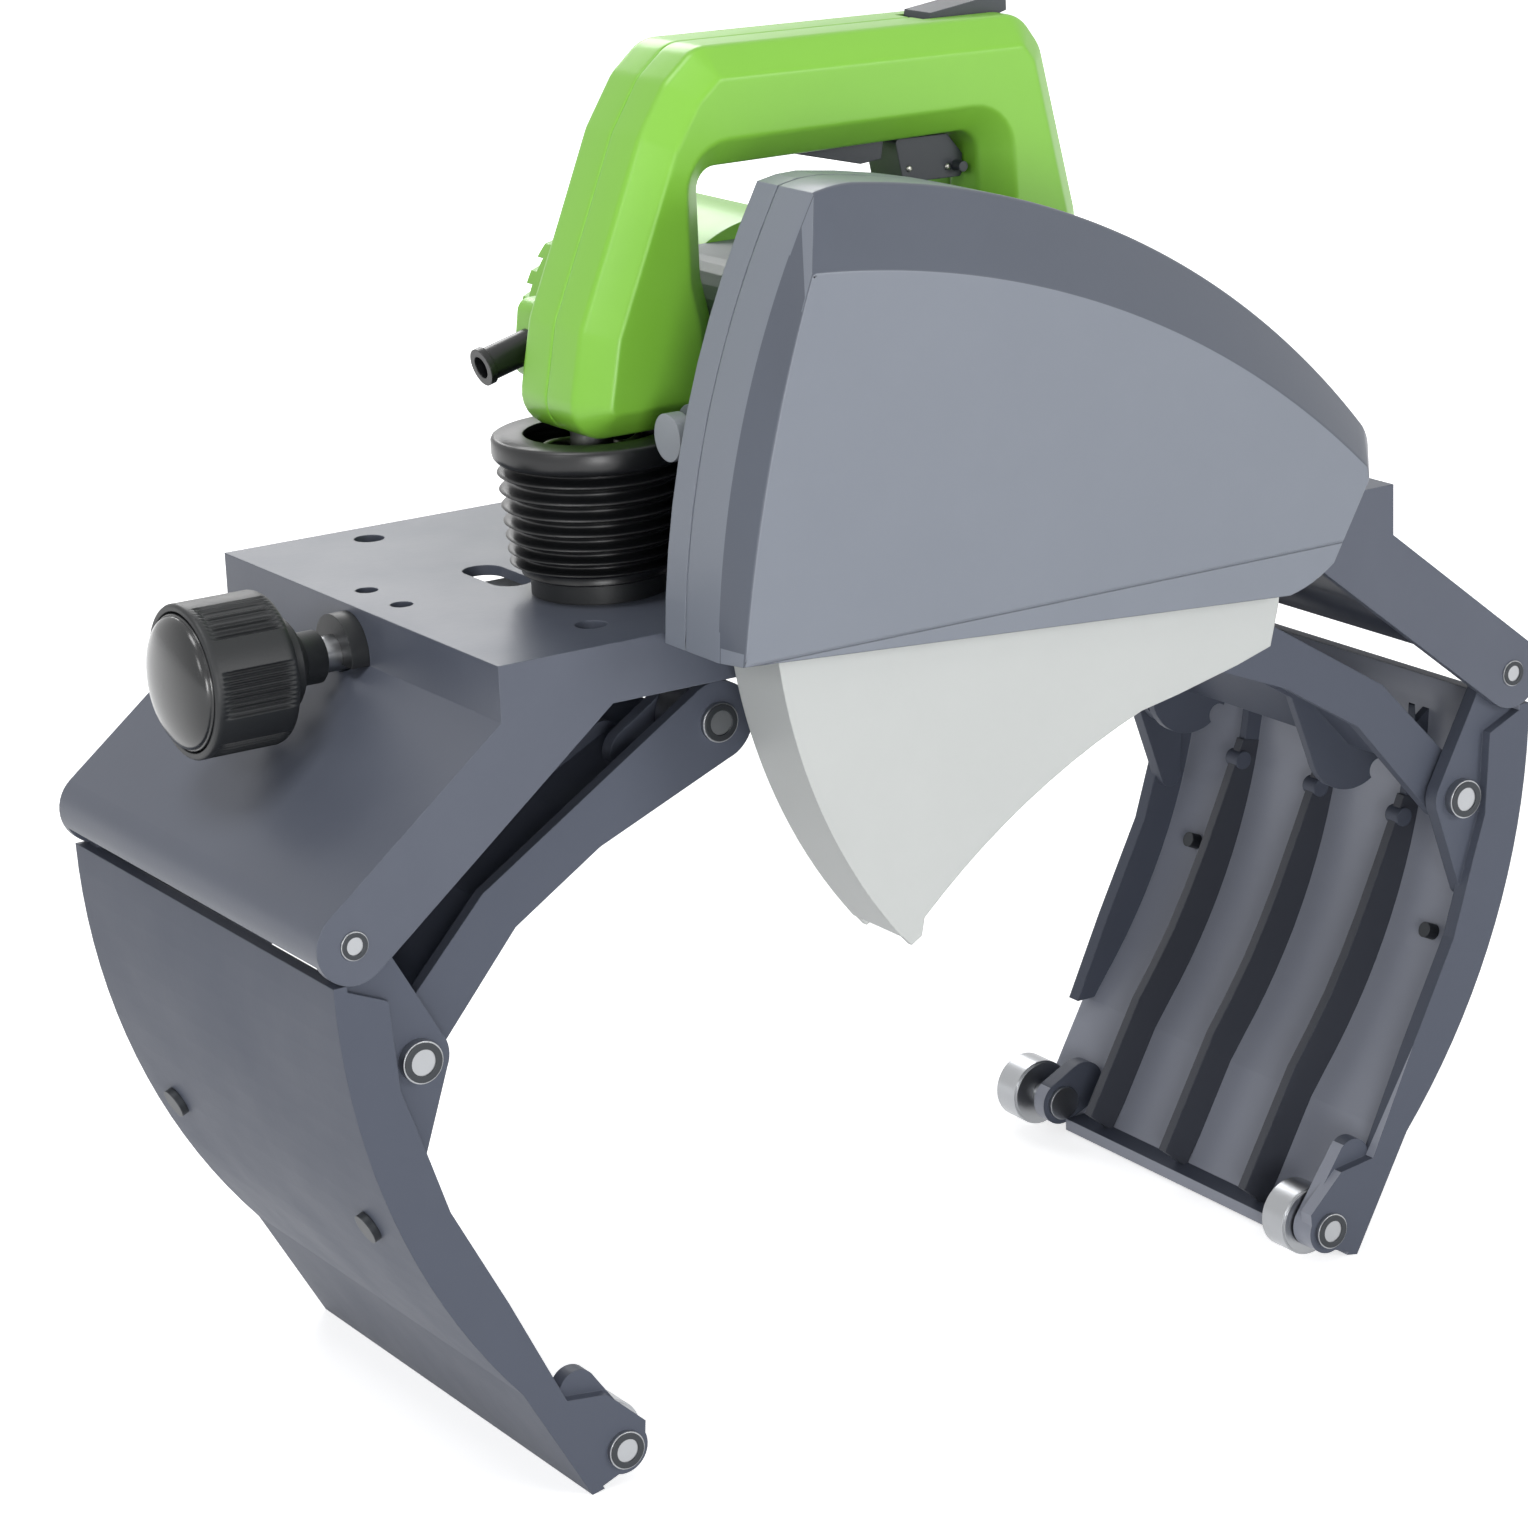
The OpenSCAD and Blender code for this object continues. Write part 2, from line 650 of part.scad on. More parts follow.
module frame_screws() color(steel_color) on_pipe() for (p = bracket_holes)
    translate([p.x, p.y, deck_h]) {
        translate([0, 0, -frame_steel - 2]) cylinder(d = bracket_screw_d - 2 * seat_gap,
            h = frame_steel + bracket_t + 2);
        translate([0, 0, bracket_t]) cylinder(d = 1.7 * bracket_screw_d, h = 1.5);
    }

module at_bellows(h) translate([bellows_x, handle_y, h]) children();

module bellows_base() color(knob_color) on_pipe() at_bellows(deck_h) difference() {
    cylinder(r = base_r, h = bellows_low - deck_h);
    translate([0, 0, -over]) cylinder(r = spring_r + spring_wire, h = bellows_low - deck_h + 2 * over);
}

module lock_post() color(steel_color) on_pipe() at_bellows(deck_h) {
    cylinder(d = post_d, h = post_top - deck_h - 2);
    translate([0, 0, post_top - deck_h - 2]) cylinder(d1 = post_d, d2 = post_d - 3, h = 2);
    cylinder(r = spring_r - spring_wire, h = 3);
}

// Radius of the bellows' skin at the i-th turn of its ribs, which lie closer towards the bottom
bellows_body = bellows_high - collar_h - bellows_low;
function bellows_point(i, r_off) =
    let (s = i / (2 * bellows_ribs))
    [bellows_d / 2 - bellows_taper * (1 - s) - (i % 2 == 0 ? rib_depth : 0) + r_off,
     bellows_low + bellows_body * pow(s, 1.25)];

module bellows() color(knob_color) on_pipe() at_bellows(0) rotate_extrude() polygon(concat(
    [[base_r + 1.2, bellows_low], [base_r + 1.2, bellows_low + 0.8]],
    [for (i = [1:2 * bellows_ribs]) bellows_point(i, -1)],
    [[bellows_d / 2, bellows_high - 0.72 * collar_h], [bellows_d / 2, bellows_high],
     [bellows_d / 2 - 2 * bellows_wall, bellows_high]],
    [for (i = [2 * bellows_ribs:-1:1]) bellows_point(i, -1 - bellows_wall)],
    [[base_r - bellows_wall, bellows_low + 0.8], [base_r - bellows_wall, bellows_low]]));

module lift_spring() {
    low = deck_h + 0.3 + spring_wire / 2;
    high = handle_base - 0.3 - spring_wire / 2;
    echo(lift_spring_gap = (high - low) / spring_curls - spring_wire);
    color(steel_color) on_pipe() at_bellows(0)
        wound_wire(spring_r, spring_wire, low, high, spring_curls);
}

// Clamp screw and knob, drawn from the step at the left outwards

module along_screw(x) translate([x, screw_y, screw_h]) rotate([0, -90, 0]) children();

// Ridges of the thread, from a place along the screw to the left
module ridges(x, length) along_screw(x) rotate_extrude() polygon(concat(
    [[0, 0]],
    [for (k = [0:floor(length / screw_pitch) - 1], p = ridge_shares)
        [screw_d / 2 - thread_depth * (1 - p.y), (k + p.x) * screw_pitch]],
    [[screw_d / 2 - thread_depth, length], [0, length]]));

module clamp_screw() color(steel_color) on_pipe() {
    right_end = hanger_x + hanger_t + 2;
    ridges(-thread_in, thread_out - thread_in);
    ridges(thread_out, thread_out - thread_in);
    along_screw(right_end) cylinder(d = screw_neck_d, h = right_end - thread_out + over);
    along_screw(thread_in + over) cylinder(d = screw_mid_d, h = 2 * (thread_in + over));
    along_screw(over - thread_out) cylinder(d = screw_neck_d, h = knob_end - thread_out + over);
    along_screw(hanger_x - 3) cylinder(d = screw_d, h = 2.4);
}

// How far the screw's end stands out to the left, inside the knob

module clamp_knob() color(knob_color) on_pipe() along_screw(knob_x) difference() {
    union() {
        cylinder(r = knob_boss_r, h = knob_collar_len);
        translate([0, 0, knob_collar_len / 2])
            cylinder(r1 = knob_boss_r, r2 = knob_collar_r, h = knob_collar_len / 2);
        translate([0, 0, knob_collar_len]) linear_extrude(knob_len) difference() {
            circle(knob_d / 2);
            for (g = [0:knob_groups - 1], k = [0:knob_flutes - 1])
                rotate(360 / knob_groups * (g + 0.62 * (k - (knob_flutes - 1) / 2) / knob_flutes))
                    translate([knob_d / 2, 0]) circle(flute_r);
        }
    }
    translate([0, 0, knob_collar_len + 3]) difference() {
        cylinder(r = knob_d / 2 - 4, h = knob_len);
        translate([0, 0, -over]) cylinder(r = knob_boss_r, h = knob_len / 2 + over);
    }
    translate([0, 0, -over]) cylinder(r = screw_neck_d / 2 + seat_gap, h = knob_len + knob_collar_len);
}

module knob_cap() color(knob_color) on_pipe() along_screw(knob_x) {
    rise = knob_collar_len + knob_len;
    translate([0, 0, rise]) cylinder(r1 = knob_cap_r, r2 = 0.86 * knob_cap_r, h = knob_cap_rise / 2);
    translate([0, 0, rise + knob_cap_rise / 2])
        cylinder(r1 = 0.86 * knob_cap_r, r2 = 0.5 * knob_cap_r, h = knob_cap_rise / 2);
    translate([0, 0, rise - knob_rim]) cylinder(r = knob_d / 2 - 4 - seat_gap, h = knob_rim);
}

module nut(side) color(steel_color) on_pipe() on_side(side)
    translate([nut_x, screw_y, screw_h]) difference() {
        union() {
            translate(-nut_half) cube(2 * nut_half);
            rotate([90, 0, 0]) cylinder(d = trunnion_d,
                h = 2 * (nut_half.y + fork_gap + fork_t), center = true);
        }
        rotate([0, 90, 0]) cylinder(r = screw_d / 2 + run_gap, h = 3 * nut_half.x, center = true);
    }

module left_nut() nut(-1);
module right_nut() nut(1);

// Arms

module arm_flange_shape() polygon(concat(arm_back, [arm_foot],
    [for (s = inner_edge_shares) [pivot.x - s.x * arm_drop, -s.y * arm_drop]]));

// Room for the frame's lug and sloping bar, over the whole swing
module bar_room() {
    translate(pivot) circle(lug_r + pass_gap);
    for (turn = [0, arm_swing])
        translate(pivot) rotate(turn) translate(-pivot)
            polygon([lug_low - pass_gap * slope_out, lug_top + pass_gap * slope_out,
                shoulder + pass_gap * slope_out, rail_bend - pass_gap * slope_out]);
}

module arm_skin_shape() {
    inner = bow(back_start - [arm_skin, 0], back_bend - [0.8 * arm_skin, -0.5 * arm_skin],
        -arm_back_r + arm_skin, arm_steps);
    polygon(concat(arm_back, [arm_foot, arm_foot + [-arm_skin, 0.2 * arm_skin]],
        [back_bend - [1.05 * arm_skin, 0]],
        [for (i = [len(inner) - 1:-1:0]) inner[i]]));
}

module arm(side) color(arm_color) on_pipe() on_side(side) difference() {
    union() {
        slab(-half_depth, -half_depth + arm_flange) difference() {
            union() {
                arm_flange_shape();
                translate(tip) circle(tip_boss_r);
            }
            bar_room();
        }
        slab(half_depth - arm_flange, half_depth) difference() {
            arm_flange_shape();
            bar_room();
            translate([0, -2 * arm_drop + rear_cut_h]) square(2 * arm_drop);
        }
        slab(-half_depth, half_depth) arm_skin_shape();
        slab(lip_front, rear_ear_y - rear_ear_t) translate(arm_foot - [2.4 * arm_skin, -0.2 * arm_skin])
            square([2 * arm_skin, arm_skin]);
        both_depths() slab(plate_front, plate_back) {
            tie(pivot, ear, arm_lug_r, ear_r);
            tie(ear, pivot + [-14, -66], ear_r, 4);
        }
        slab(rear_ear_y - rear_ear_t, rear_ear_y) {
            tie(tip, arm_foot + [-2, 15], tip_boss_r, 8);
        }
        slab(plate_front, plate_back) tie(tip, tip + [12, 20], tip_boss_r, 6);
        for (y = arm_rib_ys) slab(y - arm_rib_t / 2, y + arm_rib_t / 2) arm_rib_shape();
        for (y = arm_rib_ys) slab(y - arm_rib_t, y + arm_rib_t)
            translate(polar(arm_back_c, arm_back_r - arm_rib_h, rib_boss_turn)) circle(rib_boss_r);
    }
    rod(pivot, pivot_pin_d / 2 + run_gap, -half_depth - over, half_depth + over);
    rod(ear, link_pin_d / 2 + seat_gap, -half_depth - over, half_depth + over);
    rod(tip, link_pin_d / 2 + seat_gap, -half_depth - over, half_depth + over);
    rod(tip, roller_d / 2 + pass_gap, front_roller_y - roller_w / 2 - 0.5, lip_front - over);
    rod(tip, roller_d / 2 + pass_gap, rear_roller_y - roller_w / 2 - 0.5, half_depth + over);
    for (y = [-screw_boss_y, screw_boss_y]) at_shell_screw(y)
        translate([0, 0, -2 * arm_skin]) cylinder(d = 5, h = 4 * arm_skin);
}

module arm_rib_shape() polygon(concat(
    bow(back_start - [1, 8], back_bend - [1, 0], -arm_back_r, arm_steps),
    [for (i = [arm_steps:-1:0]) arm_back[i] - [arm_rib_h, i == 0 ? 14 : 0]]));

// Place and lean of a screw in an arm's skin
module at_shell_screw(y) {
    translate([shell_screw_x, y, screw_boss_h]) rotate([0, 90 - shell_screw_lean, 0]) children();
}

module arm_fasteners(side) color(steel_color) on_pipe() on_side(side) {
    r = link_pin_d / 2;
    both_depths() {
        rod(ear, r, plate_front - 3, link_front + link_t + 1.4);
        rod(ear, r + 2.4, plate_front - 3, plate_front);
    }
    rod(tip, r, -half_depth - 1.6, front_roller_y + roller_w / 2 + 1.6);
    rod(tip, r + 2, -half_depth - 1.6, -half_depth);
    rod(tip, r + 2, front_roller_y + roller_w / 2 + 0.4, front_roller_y + roller_w / 2 + 1.6);
    rod(tip, r, rear_ear_y - rear_ear_t - 1.6, half_depth + 1);
    rod(tip, r + 2, rear_ear_y - rear_ear_t - 1.6, rear_ear_y - rear_ear_t);
    rod(tip, r + 2, half_depth - pass_gap + 0.3, half_depth + 1);
    for (y = [-screw_boss_y, screw_boss_y]) at_shell_screw(y) {
        cylinder(d = 9, h = 2.2);
        translate([0, 0, -2 * arm_skin]) cylinder(d = 5 - 2 * seat_gap, h = 2 * arm_skin + over);
    }
}

module left_arm() arm(-1);
module right_arm() arm(1);
module left_arm_fasteners() arm_fasteners(-1);
module right_arm_fasteners() arm_fasteners(1);

// Links

module link(side) {
    path = concat([ear], link_knees, [roller_axis]);
    web_start = ear + 0.36 * (link_knees[0] - ear);
    web_end = roller_axis + 0.42 * (link_knees[1] - roller_axis);
    room = roller_d / 2 + 1.4;
    color(link_color) on_pipe() on_side(side) difference() {
        union() {
            both_depths() slab(link_front, link_front + link_t)
                chain(path, [link_r + 1, link_r, link_r, link_end_r]);
            both_depths() slab(-link_ear_y, -link_ear_y + link_ear_t)
                tie(roller_axis, web_end, link_end_r - 2, link_r);
            slab(link_front, -link_front)
                chain([web_start, link_knees[0], link_knees[1], web_end],
                    [link_web, link_web, link_web, link_web]);
            for (y = link_rib_ys) slab(y - 1.5, y + 1.5)
                chain([web_start, link_knees[0], link_knees[1], web_end], [3, 1, 1, 1] * (link_r - 2));
            slab(-link_ear_y + link_ear_t, link_ear_y - link_ear_t)
                straight(web_end, roller_axis, 0.9 * link_web, 0.9 * link_web);
            for (s = [-1, 1]) slab(screw_y + s * (nut_half.y + fork_gap + fork_t / 2) - fork_t / 2,
                screw_y + s * (nut_half.y + fork_gap + fork_t / 2) + fork_t / 2) fork_shape();
        }
        rod(ear, link_pin_d / 2 + run_gap, -half_depth, half_depth);
        rod(roller_axis, link_pin_d / 2 + seat_gap, -half_depth, half_depth);
    }
}

// The fork's cheek: a slot that is open at the top and leaves the trunnion room to drift
module fork_shape() difference() {
    outer = fork_slot / 2 + fork_wall;
    polygon([[nut_x - outer, screw_h + fork_over], [nut_x - outer, roller_axis.y - 14],
        [nut_x + outer, link_knees[1].y + 2], [nut_x + outer, screw_h + fork_over]]);
    translate([nut_x - fork_slot / 2, screw_h - trunnion_d / 2 - 2.5]) square(4 * fork_slot / 2);
}

module left_link() link(-1);
module right_link() link(1);

module centre_pins(side) color(steel_color) on_pipe() on_side(side) both_depths() {
    r = link_pin_d / 2;
    rod(roller_axis, r, link_front - 1.6, -link_ear_y + link_ear_t + 1.2);
    rod(roller_axis, r + 2, link_front - 1.6, link_front);
}

module left_centre_pins() centre_pins(-1);
module right_centre_pins() centre_pins(1);

// Rollers

module roller(p, y) color(steel_color) on_pipe() difference() {
    union() {
        rod(p, roller_d / 2, y - roller_w / 2 + 0.6, y + roller_w / 2 - 0.6);
        rod(p, roller_d / 2 - 0.6, y - roller_w / 2, y + roller_w / 2);
    }
    rod(p, link_pin_d / 2 + run_gap, y - roller_w, y + roller_w);
}

module tip_roller_left_front() roller([-tip.x, tip.y], front_roller_y);
module tip_roller_left_rear() roller([-tip.x, tip.y], rear_roller_y);
module tip_roller_right_front() roller(tip, front_roller_y);
module tip_roller_right_rear() roller(tip, rear_roller_y);
module centre_roller_left_front() roller([-centre_x, centre_h], -centre_roller_y);
module centre_roller_left_rear() roller([-centre_x, centre_h], centre_roller_y);
module centre_roller_right_front() roller(roller_axis, -centre_roller_y);
module centre_roller_right_rear() roller(roller_axis, centre_roller_y);

// Blade guard

function guard_at(shares) = [guard_left + shares.x * guard_w, guard_low + shares.y * guard_h];

// Outline of the guard at its rim or its face, counter-clockwise from the lower left
function guard_outline(shares, side_r, top_r) =
    let (p = [for (s = shares) guard_at(s)])
    let (clockwise = concat(bow(p[0], p[1], -side_r, 10), bow(p[1], p[2], -40, 2),
        bow(p[2], p[3], -top_r, 16), bow(p[3], p[4], -12, 2), [p[4]], bow(p[5], p[6], -40, 3), [p[6]]))
    [for (i = [len(clockwise) - 1:-1:0]) clockwise[i]];

rim_outline = guard_outline(rim_shares, rim_side_r, rim_top_r);
face_outline = guard_outline(face_shares, face_side_r, face_top_r);

// The mouth under the guard, where the blade and the lower guard come out
module guard_mouth()
    translate([mouth_left, guard_front + shell_wall + 2, 0])
        cube([mouth_right - mouth_left, guard_depth - 2 * shell_wall - 3, mouth_top]);

module guard_rear_shell() color(guard_color) on_pipe() difference() {
    union() {
        difference() {
            slab(guard_seam, guard_back) polygon(rim_outline);
            slab(guard_seam - over, guard_back - shell_wall) polygon(inset(rim_outline, shell_wall));
        }
        rod(axle, front_bearing_r + 3, guard_back - shell_wall, guard_back + bearing_w);
        rod(swing_axis, swing_pin_d / 2 + 3, guard_back - shell_wall - 2.4, guard_back);
        for (p = guard_screws) rod(p, guard_screw_d / 2 + 2, guard_seam, guard_back);
    }
    rod(axle, front_bearing_r + seat_gap, guard_back, guard_back + bearing_w + over);
    rod(axle, axle_d / 2 + 2.4, guard_seam, guard_back + over);
    rod(swing_axis, swing_pin_d / 2 + seat_gap, guard_seam, guard_back + over);
    for (p = guard_screws) rod(p, guard_screw_d / 2 + seat_gap, guard_seam - over, guard_back + over);
    guard_mouth();
}

module guard_front_cover() color(guard_color) on_pipe() difference() {
    flat = guard_seam - guard_rim;
    deep = guard_seam - guard_front;
    union() {
        difference() {
            loft_front(guard_seam, [rim_outline, rim_outline, face_outline], [0, flat, deep]);
            loft_front(guard_seam, [inset(rim_outline, shell_wall), inset(rim_outline, shell_wall),
                inset(face_outline, shell_wall)], [-over, flat - 1, deep - shell_wall]);
        }
        rod(swing_axis, swing_pin_d / 2 + 3, guard_front + shell_wall - over, guard_front + shell_wall
            + 2.6);
        for (p = guard_screws) rod(p, guard_screw_d / 2 + 2, guard_rim + 3, guard_seam);
    }
    rod(swing_axis, swing_pin_d / 2 + seat_gap, guard_front + shell_wall - 1, guard_seam + over);
    for (p = guard_screws) rod(p, guard_screw_d / 2 + seat_gap, guard_rim + 5, guard_seam + over);
    guard_mouth();
}

// Lower guard, with its points counted from the axis that it swings on
lower_tip = polar(swing_axis, lower_r, lower_tip_turn);
lower_outline = concat(
    [swing_axis + [0, lower_hub_r], swing_axis - [lower_hub_r * 2, -lower_hub_r]],
    [for (i = [0:12]) polar(swing_axis, lower_r - lower_wall / 8,
        lower_top_turn + (lower_tip_turn - lower_top_turn) * i / 12)],
    [lower_tip + [3, -3], lower_tip + [6.5, -1]],
    bow(lower_tip + [7.6, 4], swing_axis - [44, 56], -lower_inner_r, 10),
    [swing_axis - [44, 56], swing_axis - [31, 53.6], swing_axis - [10, 49], swing_axis - [-2, 45.6],
     swing_axis - [-5, 34], swing_axis + [lower_hub_r, -2]]);

module lower_guard() color(lower_color) on_pipe() difference() {
    clear_r = norm(swing_axis - axle);
    union() {
        slab(lower_front, lower_front + lower_wall) polygon(lower_outline);
        slab(lower_back - lower_wall, lower_back) difference() {
            polygon(lower_outline);
            polygon(ring_band(swing_axis, clear_r - 14, clear_r + 14,
                angle_of(axle - swing_axis) - 12, angle_of(axle - swing_axis) + 12 + guard_swing));
        }
        slab(lower_front, lower_back) translate(swing_axis) intersection() {
            difference() {
                circle(lower_r, $fn = 360);
                circle(lower_r - lower_wall, $fn = 360);
            }
            polygon([[0, 0], for (a = [lower_top_turn, lower_tip_turn]) polar([0, 0], 2 * lower_r, a)]);
        }
        rod(swing_axis, lower_hub_r, lower_front, lower_back);
    }
    rod(swing_axis, swing_pin_d / 2 + run_gap, lower_front - over, lower_back + over);
    rod(swing_axis, spring_room_r, lower_front + lower_wall + 3, lower_back + over);
}

module guard_spring() color(steel_color) on_pipe()
    translate([swing_axis.x, lower_back - 1, swing_axis.y]) rotate([90, 0, 0])
        wound_wire(5.8, 1.2, 0.9, lower_back - lower_front - lower_wall - 6.4, 7);

module guard_pivot() color(steel_color) on_pipe()
    rod(swing_axis, swing_pin_d / 2, guard_front + shell_wall - 0.9, guard_back);

// Blade drive

module spindle() color(steel_color) on_pipe() difference() {
    union() {
        rod(axle, axle_d / 2, blade_back, bearing_wall_front + bearing_w + 1);
        rod(axle, axle_d / 2 + 2, guard_back - 5, guard_back - 1.2);
    }
    rod(axle, 4 + seat_gap, blade_back - over, blade_back + 16);
}

module bearing(p, r_in, r_out, y) difference() {
    rod(p, r_out, y, y + bearing_w);
    rod(p, r_in + run_gap, y - over, y + bearing_w + over);
    for (end = [y - over, y + bearing_w - 1]) difference() {
        rod(p, 0.8 * r_out + 0.2 * r_in, end, end + 1 + over);
        rod(p, 0.2 * r_out + 0.8 * r_in, end - over, end + 2 + over);
    }
}

module saw_bearings() color(steel_color) on_pipe() {
    bearing(axle, axle_d / 2, front_bearing_r, guard_back);
    bearing(axle, axle_d / 2, rear_bearing_r, bearing_wall_front);
    bearing(motor_axis, armature_d / 2, armature_bearing_r, bearing_wall_front);
    bearing(motor_axis, armature_d / 2, armature_bearing_r, end_bearing_y);
}

module drive_gear() color("#B5A265") on_pipe() difference() {
    translate([axle.x, gear_front + gear_w, axle.y]) rotate([90, 0, 0]) rotate(mesh_turn)
        linear_extrude(gear_w) polygon(gear_outline(gear_teeth));
    rod(axle, axle_d / 2 + seat_gap, gear_front - over, gear_front + gear_w + over);
}

module inner_flange() color(steel_color) on_pipe() difference() {
    union() {
        rod(axle, flange_r, blade_back, blade_back + 3);
        rod(axle, blade_bore / 2 - 0.03, blade_front, blade_back + over);
        rod(axle, axle_d / 2 + 5, blade_back, guard_back - 9);
    }
    rod(axle, axle_d / 2 + seat_gap, blade_back, guard_back);
    rod(axle, 4 + pass_gap, blade_front - over, blade_back + over);
}

module saw_blade() color("#D4D6D8") on_pipe() difference() {
    tooth = 3.4;
    slab(blade_front, blade_back) translate(axle) difference() {
        polygon([for (t = [0:blade_teeth - 1]) let (a = 360 * t / blade_teeth, w = 360 / blade_teeth)
            each [polar([0, 0], blade_d / 2, a), polar([0, 0], blade_d / 2 - 1, a + 0.45 * w),
                polar([0, 0], blade_d / 2 - tooth, a + 0.9 * w)]]);
        circle(blade_bore / 2);
    }
}

module outer_flange() color(steel_color) on_pipe() difference() {
    rod(axle, flange_r, blade_front - 3.5, blade_front);
    rod(axle, flange_r - 5, blade_front - 4.5, blade_front - 2.5);
    rod(axle, 4 + pass_gap, blade_front - 5, blade_front + over);
}

module blade_bolt() color(knob_color) on_pipe() difference() {
    union() {
        slab(blade_front - 6.9, blade_front - 2.5) translate(axle) circle(9);
        rod(axle, 4, blade_front - 3, blade_back + 14);
    }
    slab(blade_front - 7.9, blade_front - 4.4) translate(axle) circle(3.4, $fn = 6);
}

// Gear case, with the arm that carries the saw on its hinge

case_outline = rounded([[case_left, deck_h + 45], [case_left + 14, case_low], [case_right - 16, case_low],
    [case_right, case_low + 18], [case_right, case_top], [case_left, case_top]],
    [10, 8, 8, 10, 12, 12]);

module gear_housing() color(case_color) on_pipe() difference() {
    arm_root = [case_right - 12, axle_h + 2];
    union() {
        slab(guard_back, case_back) polygon(case_outline);
        slab(-hinge_half, -8) tie(arm_root, [hinge_x, hinge_h], 14, hinge_r);
        rod([hinge_x, hinge_h], hinge_r, -hinge_half, hinge_half);
        slab(20, hinge_half) tie([hinge_x - 20, hinge_h + 3], [hinge_x, hinge_h], hinge_r, hinge_r);
        slab(-hinge_half, hinge_half)
            tie([hinge_x - 26, hinge_h + 4], [hinge_x - 12, hinge_h + 1], 6, 6);
        translate([button_x, button_y, button_h]) rotate([0, 90, 0])
            cylinder(r = 8, h = case_left - button_x + case_wall);
    }
    slab(guard_back - over, bearing_wall_front) polygon(inset(case_outline, case_wall));
    slab(bearing_wall_front + bearing_w, case_back + over) polygon(inset(case_outline, case_wall));
    rod(axle, rear_bearing_r + seat_gap, bearing_wall_front - over, bearing_wall_front + bearing_w
        + over);
    rod(motor_axis, armature_bearing_r + seat_gap, bearing_wall_front - over,
        bearing_wall_front + bearing_w + over);
    rod([hinge_x, hinge_h], hinge_pin_d / 2 + run_gap, -hinge_half - over, hinge_half + over);
    translate([button_x - over, button_y, button_h]) rotate([0, 90, 0])
        cylinder(r = button_r + run_gap, h = case_left - button_x + case_wall + 2 * over);
}

module spindle_lock() color("#D8DAD8") on_pipe()
    translate([button_x, button_y, button_h]) rotate([0, 90, 0]) {
        translate([0, 0, -button_travel - 5]) cylinder(r = button_r + 1.6, h = 4.4);
        translate([0, 0, -button_travel - 2]) cylinder(r = button_r, h = case_left - button_x + 4);
        cylinder(r = 3, h = motor_axis.x - button_x - pinion_r - 1.4 - button_travel);
    }

// Motor

module motor_housing() color(handle_color) on_pipe() difference() {
    rod(motor_axis, motor_d / 2, case_back, end_cap_y);
    rod(motor_axis, motor_d / 2 - shell_wall, case_back + 3, end_cap_y + over);
    rod(motor_axis, motor_d / 2 - motor_rim, case_back - over, case_back + shell_wall + over);
}

module motor_end_cap() color(handle_color) on_pipe() difference() {
    back = case_back + motor_len;
    union() {
        difference() {
            union() {
                rod(motor_axis, motor_d / 2, end_cap_y, back - vent_face);
                translate([motor_axis.x, back - vent_face, motor_axis.y]) rotate([-90, 0, 0])
                    cylinder(r1 = motor_d / 2, r2 = motor_d / 2 - vent_face, h = vent_face);
            }
            rod(motor_axis, motor_d / 2 - shell_wall, end_cap_y - over, back - vent_face - over);
            for (k = [0:vents - 1]) translate([motor_axis.x, back - 0.8 * vent_face, motor_axis.y
                + (k - (vents - 1) / 2) * 0.8 * motor_d / vents])
                cube([1.1 * motor_d, 1.5 * vent_face, 0.4 * motor_d / vents], center = true);
        }
        difference() {
            rod(motor_axis, armature_bearing_r + end_plate_t, end_bearing_y, back - end_plate_t);
            rod(motor_axis, armature_bearing_r + seat_gap, end_bearing_y - over,
                end_bearing_y + bearing_w);
        }
        slab(back - vent_face, back - end_plate_t) for (a = [45, 135]) translate(motor_axis) rotate(a)
            square([motor_d - vent_face, vent_face], center = true);
    }
    rod(motor_axis, armature_d / 2 + pass_gap, end_bearing_y, back - end_plate_t - over);
}

module field_coil() color("#9A5B2E") on_pipe() difference() {
    union() {
        rod(motor_axis, coil_r, core_front, core_back);
        rod(motor_axis, coil_r - coil_overhang, case_back + shell_wall, core_back + coil_overhang);
    }
    rod(motor_axis, core_r + pass_gap, case_back, core_back + coil_overhang + over);
}

module armature() color("#8E9096") on_pipe() {
    rod(motor_axis, armature_d / 2, gear_front - 0.5, end_bearing_y + bearing_w - 1);
    difference() {
        rod(motor_axis, core_r, core_front, core_back);
        slab(core_front - over, core_back + over) translate(motor_axis) for (k = [0:11])
            rotate(30 * k) translate([core_r - core_slot.x, -core_slot.y / 2])
                square([2 * core_slot.x, core_slot.y]);
    }
    rod(motor_axis, insulator_r, core_front - insulator_over, core_back + insulator_over);
    rod(motor_axis, commutator_r, commutator_y, commutator_y + commutator_len);
    rod(motor_axis, spacer_r, core_back, commutator_y + over);
    translate([motor_axis.x, gear_front + gear_w, motor_axis.y]) rotate([90, 0, 0])
        rotate(mesh_turn - 180 + 180 / pinion_teeth) linear_extrude(gear_w)
            polygon(gear_outline(pinion_teeth));
}

module cooling_fan() color(knob_color) on_pipe() difference() {
    union() {
        rod(motor_axis, fan_hub_r, fan_y, fan_y + fan_w);
        rod(motor_axis, fan_r, fan_y + fan_w - fan_plate_t, fan_y + fan_w);
        slab(fan_y, fan_y + fan_w - fan_plate_t / 2) translate(motor_axis)
            for (k = [1:fan_blades]) rotate(360 * k / fan_blades)
                translate([0.75 * fan_hub_r, -0.4 * fan_plate_t])
                    square([0.75 * fan_r, 0.8 * fan_plate_t]);
    }
    rod(motor_axis, armature_d / 2 + seat_gap, fan_y - over, fan_y + fan_w + over);
}

